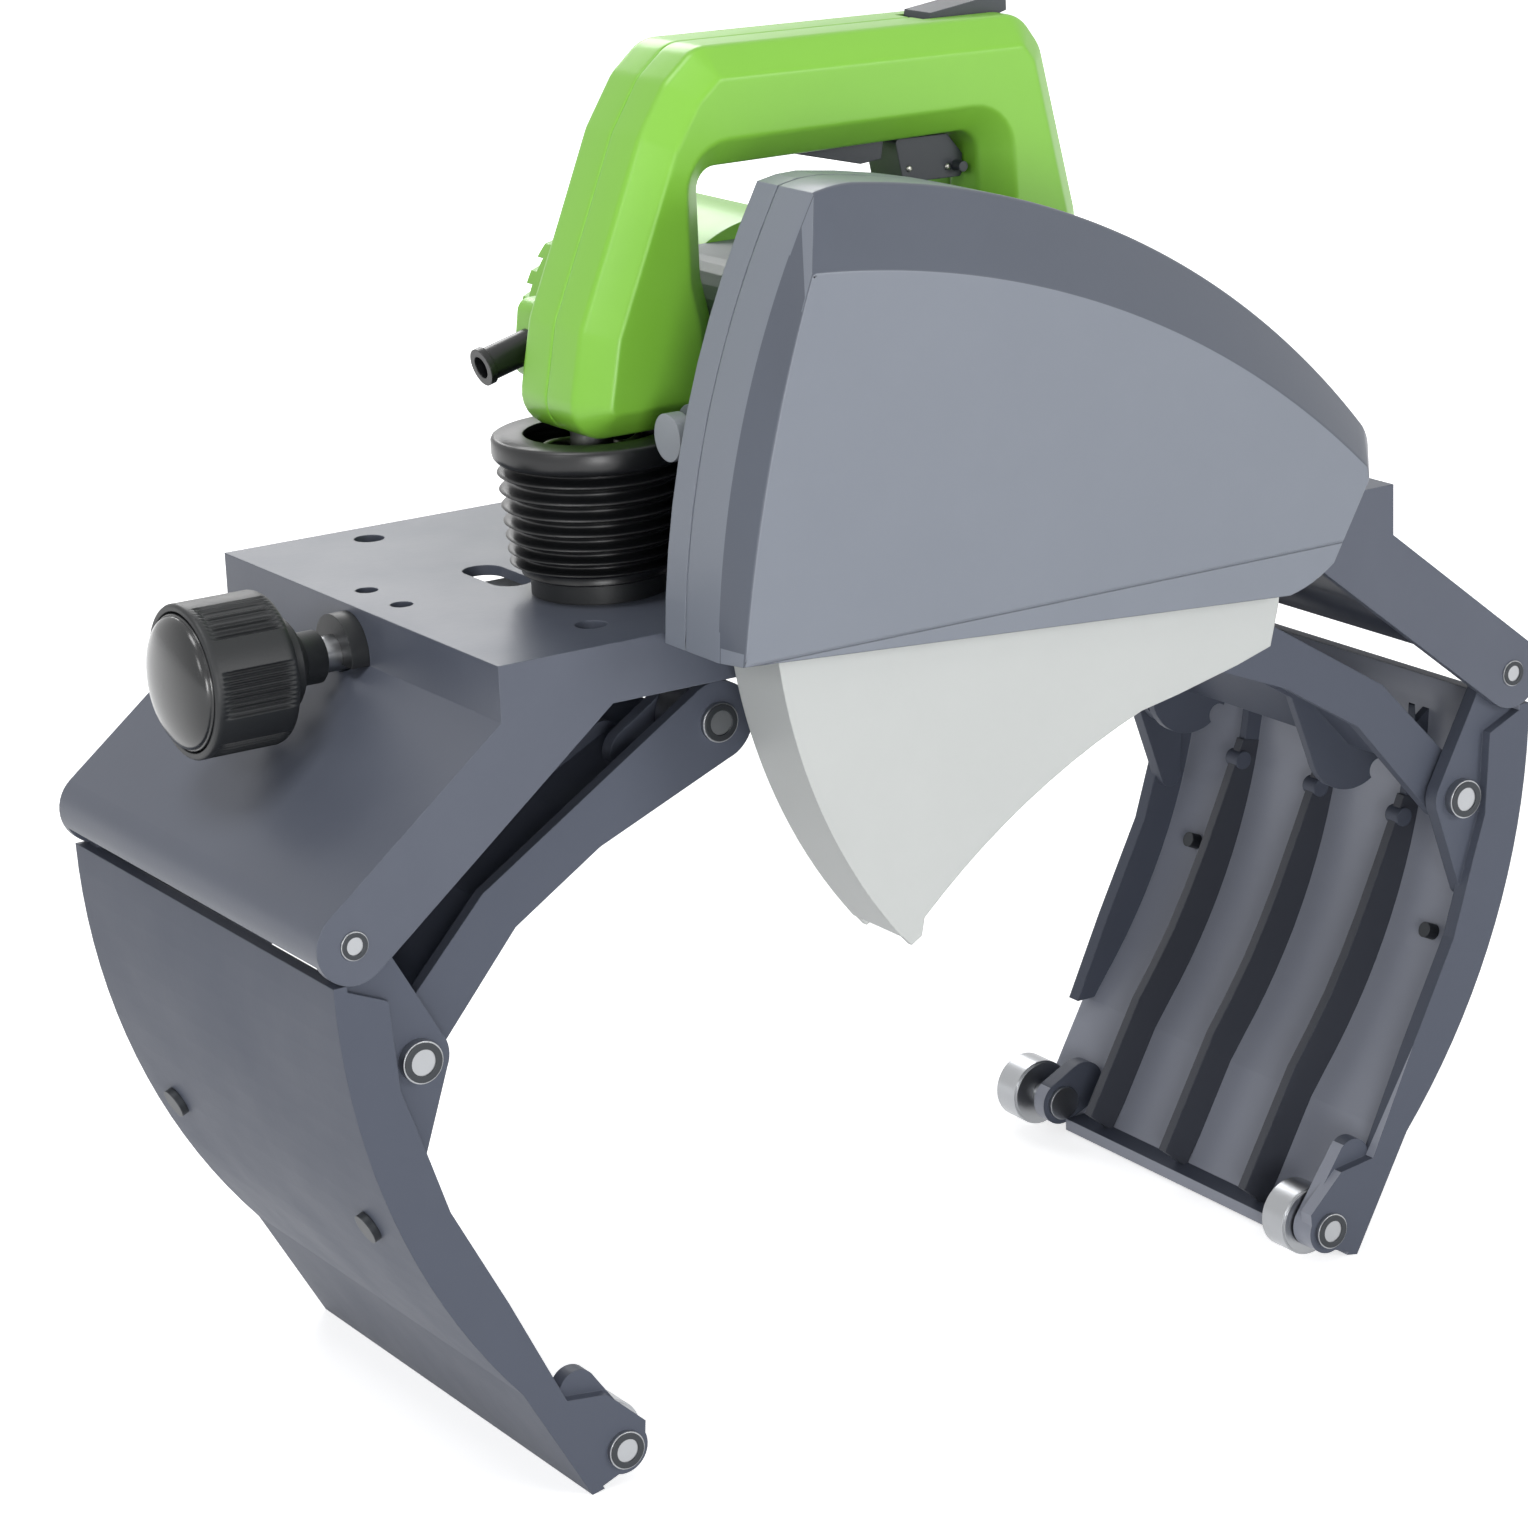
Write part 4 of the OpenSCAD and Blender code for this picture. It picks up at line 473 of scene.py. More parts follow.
def rounded(corners: Sequence[Vector], radii: Sequence[float], steps: int = 7) -> list[Vector]:
    """A closed outline with each corner rounded by its own radius.

    Args:
        corners: the sharp corners, 2-D.
        radii: one radius for each corner.
        steps: steps round a corner.

    Returns:
        The outline's points.
    """
    points: list[Vector] = []
    count = len(corners)
    for i, corner in enumerate(corners):
        back = (corners[i - 1] - corner).normalized()
        ahead = (corners[(i + 1) % count] - corner).normalized()
        half = back.angle(ahead) / 2
        centre = corner + (back + ahead).normalized() * radii[i] / math.sin(half)
        reach = radii[i] / math.tan(half)
        first = math.atan2(*reversed(corner + back * reach - centre))
        turn = math.atan2(*reversed(corner + ahead * reach - centre)) - first
        turn = (turn + math.pi) % math.tau - math.pi
        points += [centre + radii[i] * ray(first + turn * k / steps) for k in range(steps + 1)]
    return points


def inset(outline: Sequence[Vector], depth: float) -> list[Vector]:
    """A counter-clockwise outline drawn in by a depth.

    Args:
        outline: its points.
        depth: how far in.

    Returns:
        As many points, drawn in.
    """
    count = len(outline)
    drawn = []
    for i, point in enumerate(outline):
        way = (outline[(i + 1) % count] - outline[i - 1]).normalized()
        drawn.append(point + depth * Vector((-way.y, way.x)))
    return drawn


def eased(rings: Sequence[Ring], reach: float, steps: int = 4) -> list[Ring]:
    """Rounds the edges between the bands of a lofted skin.

    Args:
        rings: outline and depth pairs, with as many points in each outline.
        reach: how far in mm the rounding reaches on each side of an edge.
        steps: steps round the edge.

    Returns:
        More rings, which turn smoothly at each inner ring.
    """
    made = [(list(rings[0][0]), rings[0][1])]
    for before, here, after in zip(rings, rings[1:], rings[2:]):
        for k in range(steps + 1):
            t = k / steps
            outline = []
            depths = []
            for p, q, r in zip(before[0], here[0], after[0]):
                a, b, c = (Vector((v.x, v.y, ring[1])) for v, ring in ((p, before), (q, here), (r, after)))
                near = b + (a - b) * min(0.45, reach / max(1e-6, (a - b).length))
                far = b + (c - b) * min(0.45, reach / max(1e-6, (c - b).length))
                point = near.lerp(b, t).lerp(b.lerp(far, t), t)
                outline.append(Vector((point.x, point.y)))
                depths.append(point.z)
            made.append((outline, sum(depths) / len(depths)))
    made.append((list(rings[-1][0]), rings[-1][1]))
    return made


def carve(piece: Object, low: Vector, high: Vector) -> None:
    """Cuts a box out of a piece, for good.

    Args:
        piece: the object.
        low: the box's low corner, in metres.
        high: its high corner.
    """
    corners = [(x, y, z) for x in (low.x, high.x) for y in (low.y, high.y) for z in (low.z, high.z)]
    mesh = bpy.data.meshes.new("cutter")
    mesh.from_pydata(corners, [], [(0, 1, 3, 2), (4, 6, 7, 5), (0, 4, 5, 1), (2, 3, 7, 6), (0, 2, 6, 4),
                                   (1, 5, 7, 3)])
    cutter = put("cutter", mesh)
    cut = piece.modifiers.new("cut", "BOOLEAN")
    cut.operation = "DIFFERENCE"
    cut.solver = "EXACT"
    cut.object = cutter
    bpy.context.view_layer.update()
    done = bpy.data.meshes.new_from_object(piece.evaluated_get(bpy.context.evaluated_depsgraph_get()))
    piece.modifiers.clear()
    piece.data = done
    bpy.data.objects.remove(cutter)


def sharpen(piece: Object, degrees: float = 30) -> None:
    """Keeps edges bent more than an angle sharp, so that the rest shades smoothly.

    Args:
        piece: the object.
        degrees: the angle.
    """
    shell = bmesh.new()
    shell.from_mesh(piece.data)
    for edge in shell.edges:
        edge.smooth = not edge.is_manifold or edge.calc_face_angle(0) < math.radians(degrees)
    for face in shell.faces:
        face.smooth = True
    shell.to_mesh(piece.data)
    shell.free()


def soften(piece: Object, width: float, segments: int = 2, angle: float = 32) -> None:
    """Rounds a piece's sharp edges, as a real edge is never sharp.

    Args:
        piece: the object.
        width: the rounding's width in mm.
        segments: steps round it.
        angle: edges bent more than this many degrees are rounded.
    """
    bevel = piece.modifiers.new("soft_edges", "BEVEL")
    bevel.width = width * MM
    bevel.segments = segments
    bevel.limit_method = "ANGLE"
    bevel.angle_limit = math.radians(angle)
    bevel.harden_normals = True


def recolour(piece: Object, finish: Finish, chosen: Callable[[Vector, Vector], bool]) -> None:
    """Gives some of a piece's faces a second finish.

    Args:
        piece: the object.
        finish: what those faces are made of.
        chosen: tells, from a face's middle in metres and its normal, whether it changes.
    """
    piece.data.materials.append(finish.material())
    turned = piece.matrix_world.to_3x3()
    changed = 0
    for face in piece.data.polygons:
        if chosen(piece.matrix_world @ face.center, turned @ face.normal):
            face.material_index = 1
            changed += 1
    log.info("%s: %d faces in %s", piece.name, changed, finish.name)


class Measures:
    """Places read from the frame, so that nothing here is fitted by eye."""

    def __init__(self, frame: dict[str, Any]) -> None:
        """Reads the arm pivots' height and the nodes.
        """
        self.nodes = frame["nodes"]
        low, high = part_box("arm_pivot_pins")
        self.pivot_h = (low[2] + high[2]) / 2

    def over(self, x: float, y: float, h: float) -> Vector:
        """A point given in mm over the pivots, in metres in the row frame."""
        return Vector((x * MM, y * MM, h * MM + self.pivot_h))


@dataclass
class Assembly:
    """A sub-assembly of the scene.

    Attributes:
        sizes: the frame's places.
    """

    sizes: Measures

    def lofted(self, rings: Sequence[Ring]) -> Mesh:
        """Skins rings and closes both ends.

        Args:
            rings: outlines of x and height over the pivots, each with its depth, in mm.

        Returns:
            The points and faces.
        """
        count = len(rings[0][0])
        points = [self.sizes.over(p.x, depth, p.y) for outline, depth in rings for p in outline]
        faces = [[i * count + j, (i + 1) * count + j, (i + 1) * count + (j + 1) % count,
                  i * count + (j + 1) % count] for i in range(len(rings) - 1) for j in range(count)]
        faces.append(list(range(count)))
        faces.append([(len(rings) - 1) * count + j for j in range(count)][::-1])
        return points, faces


@dataclass
class CadPieces(Assembly):
    """The frame's own pieces, which stay and get their finishes and softened edges."""

    edge_widths: dict[str, float] = field(default_factory=lambda: {
        "top_frame": 0.9, "left_arm": 0.8, "right_arm": 0.8, "left_link": 0.8, "right_link": 0.8,
        "gear_housing": 1.0, "guard_rear_shell": 0.6, "lower_guard": 0.4, "motor_end_cap": 0.5,
        "arm_pivot_pins": 0.9, "left_arm_fasteners": 0.7, "right_arm_fasteners": 0.7,
        "left_centre_pins": 0.8, "right_centre_pins": 0.8, "hinge_pin": 0.7, "saw_screws": 0.5})
    # The arms' back arc: its centre and the inner radius of the skin, and where the straight foot begins
    arc_centre: Point = (1.91, -7.06)
    arc_inner: float = 199.5
    arc_low: float = -134.0
    # How far a face of the hollow side leans inwards, at least, and along the pipe, at most
    inward_least: float = 0.55
    foot_inward_least: float = 0.6
    along_most: float = 0.3
    # The screws of the arms' curved skins lie outside this x and more than this far below the pivots
    shell_from: float = 172.0
    shell_below: float = 60.0

    def build(self) -> None:
        """Gives every frame piece its finish."""
        nodes, pivot_h = self.sizes.nodes, self.sizes.pivot_h
        finish_of = {node: finish for finish, worn in FINISH_OF.items() for node in worn}
        for name, piece in nodes.items():
            finish = finish_of.get(name, TURNED_STEEL)
            piece.data.materials.clear()
            piece.data.materials.append(finish.material())
            if name in self.edge_widths:
                soften(piece, self.edge_widths[name])
            log.info("%s dressed as %s", name, finish.name)
        for arm in ("left_arm", "right_arm"):
            recolour(nodes[f"{arm}_fasteners"], OXIDE_STEEL_AND_PAINTED_SHADE, lambda middle, _: (
                abs(middle.x) > self.shell_from * MM and middle.z - pivot_h < -self.shell_below * MM))
            # The hollow side of each arm gets the paler coat, as painted light.
            recolour(nodes[arm], ARM_INSIDE_PAINTED_LIGHT, lambda middle, normal: self._is_hollow(
                abs(middle.x) / MM, (middle.z - pivot_h) / MM, -normal.x * math.copysign(1, middle.x),
                abs(normal.y)))

    def _is_hollow(self, x: float, h: float, inward: float, along: float) -> bool:
        """Tells whether a face of an arm lies on the hollow side of its curved skin.

        Args:
            x: the face's distance from the middle plane in mm.
            h: its height over the pivots in mm.
            inward: how much it leans towards the middle plane, 0 to 1.
            along: how much it leans along the pipe, 0 to 1.

        Returns:
            True on the hollow side.
        """
        on_arc = math.hypot(x - self.arc_centre[0], h - self.arc_centre[1]) > self.arc_inner
        on_foot = h < self.arc_low and inward > self.foot_inward_least
        return inward > self.inward_least and along < self.along_most and (on_arc or on_foot)


@dataclass
class Bellows(Assembly):
    """The ribbed rubber sleeve and its spring between the deck and the handle."""

    x: float = -90.0
    y: float = -28.0
    low: float = 72.5
    high: float = 112.0
    collar: float = 8.0
    radius: float = 28.0
    base_radius: float = 19.0
    rib: float = 3.6
    taper: float = 3.0
    ribs: int = 8
    rib_share: float = 1.25
    # Steps in half a rib, the rubber's thickness, and the width of the top's inward rim
    rib_steps: int = 8
    wall: float = 1.5
    rim: float = 9.0
    sides: int = 96
    # Points as offsets in radius and height: at the foot, where the collar starts and where it ends
    foot: tuple[Point, ...] = ((-1.4, 0.0), (1.2, 0.0), (2.4, 0.6))
    collar_start: tuple[Point, ...] = ((-1.2, 1.0), (-0.3, 2.0), (0.0, 3.2))
    collar_end: tuple[Point, ...] = ((0.0, -1.2), (-0.4, -0.4), (-1.2, 0.0))
    # The lift spring inside
    wire: float = 2.2
    coil_radius: float = 13.0
    curls: int = 8
    spring_low: float = 67.3

    def build(self) -> None:
        """Makes the sleeve between the frame and the saw, on no body."""
        profile = moved(self.foot, self.base_radius, self.low)
        body = self.high - self.collar - self.low
        for k in range(2 * self.rib_steps, 2 * self.ribs * self.rib_steps + 1):
            share = k / (2 * self.ribs * self.rib_steps)
            height = self.low + body * share ** self.rib_share
            wave = (1 + math.cos(math.pi * (k / self.rib_steps))) / 2
            radius = self.radius - self.taper * (1 - share) - 1 - self.rib * wave ** 0.8
            profile.append((radius, height))
        profile += moved(self.collar_start, self.radius, self.high - self.collar)
        profile += moved(self.collar_end, self.radius, self.high)
        profile += moved(((-self.rim, 0.0), (-self.rim, -self.wall)), self.radius, self.high)
        inner = [(r - self.wall, h) for r, h in reversed(profile[2:-5])]
        place = Matrix.Translation(self.sizes.over(self.x, self.y, 0))
        piece = mesh_piece("rubber_bellows", spun_mesh(profile + inner, self.sides, place), BLACK_RUBBER, "")
        sharpen(piece, 70)
        tuple(self.sizes.over(self.x, self.y, self.low + 1))
        tuple(self.sizes.over(self.x, self.y, self.high - self.collar))
        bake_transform(piece)
        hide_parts("bellows")
        self._spring()

    def _spring(self) -> None:
        """Winds the lift spring inside the sleeve."""
        low, high = self.spring_low + self.wire / 2, self.high - self.wire / 2
        steps = 28 * self.curls
        path = [self.sizes.over(self.x + self.coil_radius * math.cos(math.tau * self.curls * k / steps),
                                self.y + self.coil_radius * math.sin(math.tau * self.curls * k / steps),
                                low + (high - low) * k / steps) for k in range(steps + 1)]
        wire = tube_mesh(path, lambda _: self.wire / 2 * MM, 10)
        piece = mesh_piece("lift_spring_wire", wire, PLATED_STEEL, "")
        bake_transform(piece)
        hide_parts("lift_spring")


@dataclass
class Knob(Assembly):
    """The clamp screw's fluted knob with its domed end."""

    start: float = -163.0
    y: float = 3.5
    height: float = 54.0
    boss: float = 7.5
    collar: float = 13.0
    collar_len: float = 15.4
    length: float = 26.0
    radius: float = 21.75
    dome: float = 6.0
    groups: int = 6
    flutes: int = 5
    flute_depth: float = 1.05
    # Half of a group of flutes, as a share of the turn from one group to the next
    group_share: float = 0.3
    sides: int = 540
    dome_sides: int = 120
    bore: float = 5.2
    # Points as offsets in radius and height: on the boss, where the collar starts and ends, where the
    # skirt starts and ends, and where the dome starts
    boss_at: tuple[Point, ...] = ((-0.6, 0.0), (0.0, 0.6), (0.0, 6.4), (0.8, 7.2))
    collar_start: tuple[Point, ...] = ((-1.2, 9.4), (0.0, 10.4))
    collar_end: tuple[Point, ...] = ((0.0, -0.8), (0.5, -0.2))
    skirt_start: tuple[Point, ...] = ((-2.2, 0.0), (-0.9, 0.5), (-0.3, 1.4))
    skirt_end: tuple[Point, ...] = ((0.0, -2.2), (0.0, -0.9), (-0.3, -0.3), (-0.9, 0.0), (-2.0, -0.1),
                                    (-2.3, -1.2), (-2.8, -2.0))
    dome_start: tuple[Point, ...] = ((0.0, -1.8), (0.0, -0.4), (-0.25, 0.2))

    def build(self) -> None:
        """Spins the knob with its flutes, then its rim and dome."""
        place = (Matrix.Translation(self.sizes.over(self.start, self.y, self.height))
                 @ Matrix.Rotation(math.radians(-90), 4, "Y"))
        end = self.collar_len + self.length
        skirt = self.collar_len + 0.2
        profile = [(self.bore, 0.0)] + moved(self.boss_at, self.boss, 0)
        profile += moved(self.collar_start, self.collar, 0) + moved(self.collar_end, self.collar, skirt)
        profile += moved(self.skirt_start, self.radius, skirt)
        profile += [(self.radius, skirt + 2.4 + k * (self.length - 5.4) / 14) for k in range(15)]
        profile += moved(self.skirt_end, self.radius, end) + [(4.0, end - 2.0)]
        fluted = spun_mesh(profile, self.sides, place, self._fluted)
        knob = mesh_piece("fluted_knob", fluted, BLACK_NYLON, "clamp_screw")
        sharpen(knob, 50)
        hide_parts("clamp_knob")
        rim = self.radius - 2.5
        dome = moved(self.dome_start, rim, end)
        dome += [((rim - 0.6) * math.cos(math.radians(a)),
                  end + 0.3 + (self.dome - 0.4) * math.sin(math.radians(a))) for a in range(0, 90, 6)]
        dome += [(0.02, end + self.dome - 0.1)]
        domed = spun_mesh(dome, self.dome_sides, place)
        cap = mesh_piece("domed_knob_cap", domed, POLISHED_NYLON, "clamp_screw")
        sharpen(cap, 40)
        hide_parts("knob_cap")

    def _fluted(self, radius: float, turn: float, height: float) -> float:
        """Draws the skirt in at its flutes, which lie in groups between smooth lands.

        Args:
            radius: the smooth radius.
            turn: degrees round the knob.
            height: mm from the knob's inner end.

        Returns:
            The radius there.
        """
        start, end = self.collar_len + 1.6, self.collar_len + self.length - 2.6
        if radius < self.radius - 0.5 or not start < height < end:
            return radius
        fade = min(1.0, (height - start) / 2.5, (end - height) / 1.0)
        span = 360 / self.groups
        place = (turn % span) / span - 0.5
        if abs(place) > self.group_share:
            return radius
        wave = math.cos(math.pi * (place / self.group_share) * self.flutes) ** 2
        return radius - self.flute_depth * fade * (1 - wave) ** 0.7


@dataclass
class ArmRibs(Assembly):
    """The arms' inner ribs from their middle down the straight foot to its lip."""

    places: tuple[float, ...] = (-38.0, 3.0, 43.0)
    thick: float = 3.4
    outer_radius: float = 203.0
    foot: Point = (135.0, -172.0)
    # Turns of the arc's points in degrees, and the rib's height at each and at the foot
    turns: tuple[float, ...] = (-12, -18, -24, -28, -32, -36, -40)
    heights: tuple[float, ...] = (8.6, 12.0, 13.6, 14.0, 14.0, 14.0, 13.6, 11.0)

    def build(self) -> None:
        """Makes the three ribs of each arm."""
        centre = Vector(CadPieces.arc_centre)
        ways = [ray(math.radians(turn)) for turn in self.turns]
        outer = [centre + self.outer_radius * way for way in ways] + [Vector(self.foot)]
        inner = [point - height * way for point, height, way in zip(outer, self.heights, ways + ways[-1:])]
        for side, body in ((-1, "left_arm"), (1, "right_arm")):
            outline = [Vector((side * p.x, p.y)) for p in outer + inner[::-1]]
            if side > 0:
                outline.reverse()
            for number, y in enumerate(self.places):
                rib = self.lofted([(outline, y - self.thick / 2), (outline, y + self.thick / 2)])
                # Each rib is coloured with painted shade.
                mesh_piece(f"{body}_rib_end_{number}", rib, RIB_PAINTED_SHADE, body, smooth=False)


@dataclass
class PinShadeRings(Assembly):
    """Dark rings round the bright front ends of the pins: painted shade of the groove round each end."""

    bodies: dict[str, str] = field(default_factory=lambda: {
        "arm_pivot_pins": "frame", "left_arm_fasteners": "left_arm", "right_arm_fasteners": "right_arm",
        "left_centre_pins": "left_link", "right_centre_pins": "right_link"})
    bore_share: float = 0.62
    edge_share: float = 0.93
    proud: float = 0.35
    sunk: float = 0.5
    sides: int = 40
    # Corners nearer than this are on one pin; a pin's end faces the front and is round within this much
    one_pin: float = 12.0
    facing: float = 0.98
    round_within: float = 0.3

    def build(self) -> None:
        """Sets a ring on each front end."""
        for node, body in self.bodies.items():
            for number, (x, y, h, radius) in enumerate(self._ends(node)):
                bore, edge = self.bore_share * radius, self.edge_share * radius
                turn = Matrix.Rotation(math.radians(90), 4, "X")
                place = Matrix.Translation(self.sizes.over(x, y, h)) @ turn
                profile = [(bore, -self.sunk), (bore, self.proud), (edge, self.proud), (edge, -self.sunk),
                           (bore, -self.sunk)]
                ring = spun_mesh(profile, self.sides, place)
                # The ring is painted shade round the pin's end.
                mesh_piece(f"{node}_painted_shade_ring_{number}", ring, OXIDE_STEEL_AND_PAINTED_SHADE, body, smooth=False)

    def _ends(self, node: str) -> list[tuple[float, float, float, float]]:
        """Finds the round ends of a node's pins that face the front.

        Args:
            node: the pins' node.

        Returns:
            The x, depth, height over the pivots and radius of each end, in mm.
        """
        piece = self.sizes.nodes[node]
        ends: list[list[Vector]] = []
        for face in piece.data.polygons:
            if (piece.matrix_world.to_3x3() @ face.normal).y > -self.facing:
                continue
            corners = [piece.matrix_world @ piece.data.vertices[i].co / MM for i in face.vertices]
            home = next((end for end in ends if (end[0] - corners[0]).length < self.one_pin), None)
            if home is None:
                ends.append(corners)
            else:
                home.extend(corners)
        found = []
        for end in ends:
            front = min(p.y for p in end)
            rim = [p for p in end if p.y < front + 0.1]
            left, right = min(p.x for p in rim), max(p.x for p in rim)
            low, high = min(p.z for p in rim), max(p.z for p in rim)
            if abs((right - left) - (high - low)) < self.round_within and front < 0:
                found.append(((left + right) / 2, front, (low + high) / 2 - self.sizes.pivot_h / MM,
                              (right - left) / 2))
        return found


@dataclass
class Guard(Assembly):
    """The blade guard's front cover, with its bevelled face."""

    left: float = -103.0
    low: float = 53.0
    width: float = 221.0
    height: float = 134.0
    seam: float = -94.0
    rim: float = -111.0
    front: float = -122.0
    # Low and high corners of what is cut out: the slot for the lower guard, and the face's groove
    cuts: tuple[tuple[Place, Place], ...] = (
        ((-97.0, -117.0, 20.0), (102.5, -80.0, 70.0)), ((-101.4, -123.0, 65.8), (100.2, -121.5, 66.5)))
    # The seam's lip and chamfer, the flat inside the face's edge, and the reach of the skin's roundings
    lip: float = 3.2
    chamfer: float = 0.5
    flat: float = 0.9
    ease: float = 1.1
    # Radii of the left and the top edge, at the rim and at the face
    rim_radii: Point = (261, 256)
    face_radii: Point = (450, 287)
    # Slant of the bevels' faces towards the front, least and most
    slants: Point = (0.12, 0.97)
    rim_shares: tuple[Point, ...] = (
        (0, 0.09), (0.158, 0.985), (0.213, 0.995), (0.989, 0.318), (0.998, 0.276), (0.915, 0.055),
        (0.828, 0))
    face_shares: tuple[Point, ...] = (
        (0.005, 0.097), (0.12, 0.843), (0.125, 0.847), (0.955, 0.25), (0.958, 0.218), (0.9, 0.055),
        (0.828, 0.004))

    def outline(self, shares: Sequence[Point], side: float, top: float) -> list[Vector]:
        """The guard's outline at its rim or its face, counter-clockwise.

        Args:
            shares: its corners as shares of its width and height.
            side: radius of the left edge.
            top: radius of the top edge.

        Returns:
            The points, in mm over the pivots.
        """
        p = [Vector((self.left + x * self.width, self.low + h * self.height)) for x, h in shares]
        clockwise = (bow(p[0], p[1], -side, 30) + bow(p[1], p[2], -40, 8) + bow(p[2], p[3], -top, 60)
                     + bow(p[3], p[4], -12, 8) + [p[4]] + bow(p[5], p[6], -40, 6) + [p[6]])
        return clockwise[::-1]

    def build(self) -> None:
        """Makes the cover."""
        rim = self.outline(self.rim_shares, *self.rim_radii)
        face = self.outline(self.face_shares, *self.face_radii)
        rings = [(inset(rim, self.lip), self.seam), (inset(rim, self.chamfer), self.seam),
                 (rim, self.seam - self.chamfer), (rim, self.rim), (face, self.front),
                 (inset(face, self.flat), self.front)]
        skin = self.lofted(rings[:1] + eased(rings[1:], self.ease))
        cover = mesh_piece("guard_cover_skin", skin, GUARD_PAINT, "saw")
        for low, high in self.cuts:
            carve(cover, self.sizes.over(*low), self.sizes.over(*high))
        recolour(cover, BEVEL_PAINT, lambda middle, normal: (
            self.slants[0] < -normal.y < self.slants[1] and middle.y < (self.rim + 0.5) * MM))
        sharpen(cover, 28)
        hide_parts("guard_front_cover")


@dataclass
class Handle(Assembly):
    """The two halves of the green handle, their trigger slots and the cord block."""

    middle: float = -28.0
    width: float = 44.0
    bevel: float = 8.0
    corners: tuple[Point, ...] = (
        (-106, 112.3), (-58.3, 112.3), (-58.3, 141), (-61, 153), (-61, 182.5), (32, 182.5), (33, 118),
        (69, 118), (66, 156), (55, 204), (48, 213.5), (-60, 215.5), (-70, 207), (-79, 193), (-89, 169),
        (-100, 143))
    radii: tuple[float, ...] = (10, 10, 24, 8, 6, 6, 10, 10, 12, 12, 10, 10, 12, 14, 14, 14)
    # Openings for the trigger and the unlock lever: low and high x and height, and half their width
    openings: tuple[tuple[float, ...], ...] = ((-32, 6, 176, 196, 8.1), (20, 54, 203.5, 226, 7.1))
    cord_block: tuple[Point, ...] = ((-94, 122), (-64, 122), (-64, 144), (-91, 144))
    cord_block_len: float = 14.0
    cord_block_radius: float = 4.0
    # Reach of the rounding on the edges of the handle and of the cord block
    ease: float = 1.5
    block_ease: float = 1.1
    lock_width: float = 16.0
    lock_pins: tuple[Point, ...] = ((13, 172.8), (26.2, 171.8))
    # A lock pin's radius, and how deep behind the lock's face it is that thick
    pin_profile: tuple[Point, ...] = ((0.95, 0.6), (0.95, -0.2), (0.6, -0.5))

    def build(self) -> None:
        """Makes both halves, mirrored at the parting line."""
        outline = rounded([Vector(c) for c in self.corners], self.radii)
        for side, node in ((-1, "handle_front"), (1, "handle_rear")):
            half = self.width / 2
            rings = [(inset(outline, 0.45), 0.06), (outline, 0.5), (outline, half - self.bevel),
                     (inset(outline, self.bevel), half), (inset(outline, self.bevel + 1.4), half)]
            deep = [(ring, self.middle + side * depth) for ring, depth in eased(rings, self.ease)]
            shell = mesh_piece(f"{node}_skin", self.lofted(deep), GREEN_ABS, "saw")
            for left, right, low, high, reach in self.openings:
                carve(shell, self.sizes.over(left, self.middle - reach, low),
                      self.sizes.over(right, self.middle + reach, high))
            sharpen(shell, 28)
            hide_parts(node)
        block = rounded([Vector(c) for c in self.cord_block], [self.cord_block_radius] * 4)
        back = self.middle + self.width / 2
        end = back + self.cord_block_len
        rings = [(block, back - self.bevel), (block, end), (inset(block, 1.2), end)]
        skin = self.lofted(eased(rings, self.block_ease))
        cord_block = mesh_piece("cord_block", skin, GREEN_ABS, "saw")
        sharpen(cord_block)
        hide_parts("handle_rear")
        for x, h in self.lock_pins:
            face = self.middle - self.lock_width / 2
            path = [self.sizes.over(x, face + depth, h) for _, depth in self.pin_profile]
            pin = tube_mesh(path, lambda i: self.pin_profile[i][0] * MM, 20)
            mesh_piece("lock_pin", pin, PLATED_STEEL, "trigger_lock")


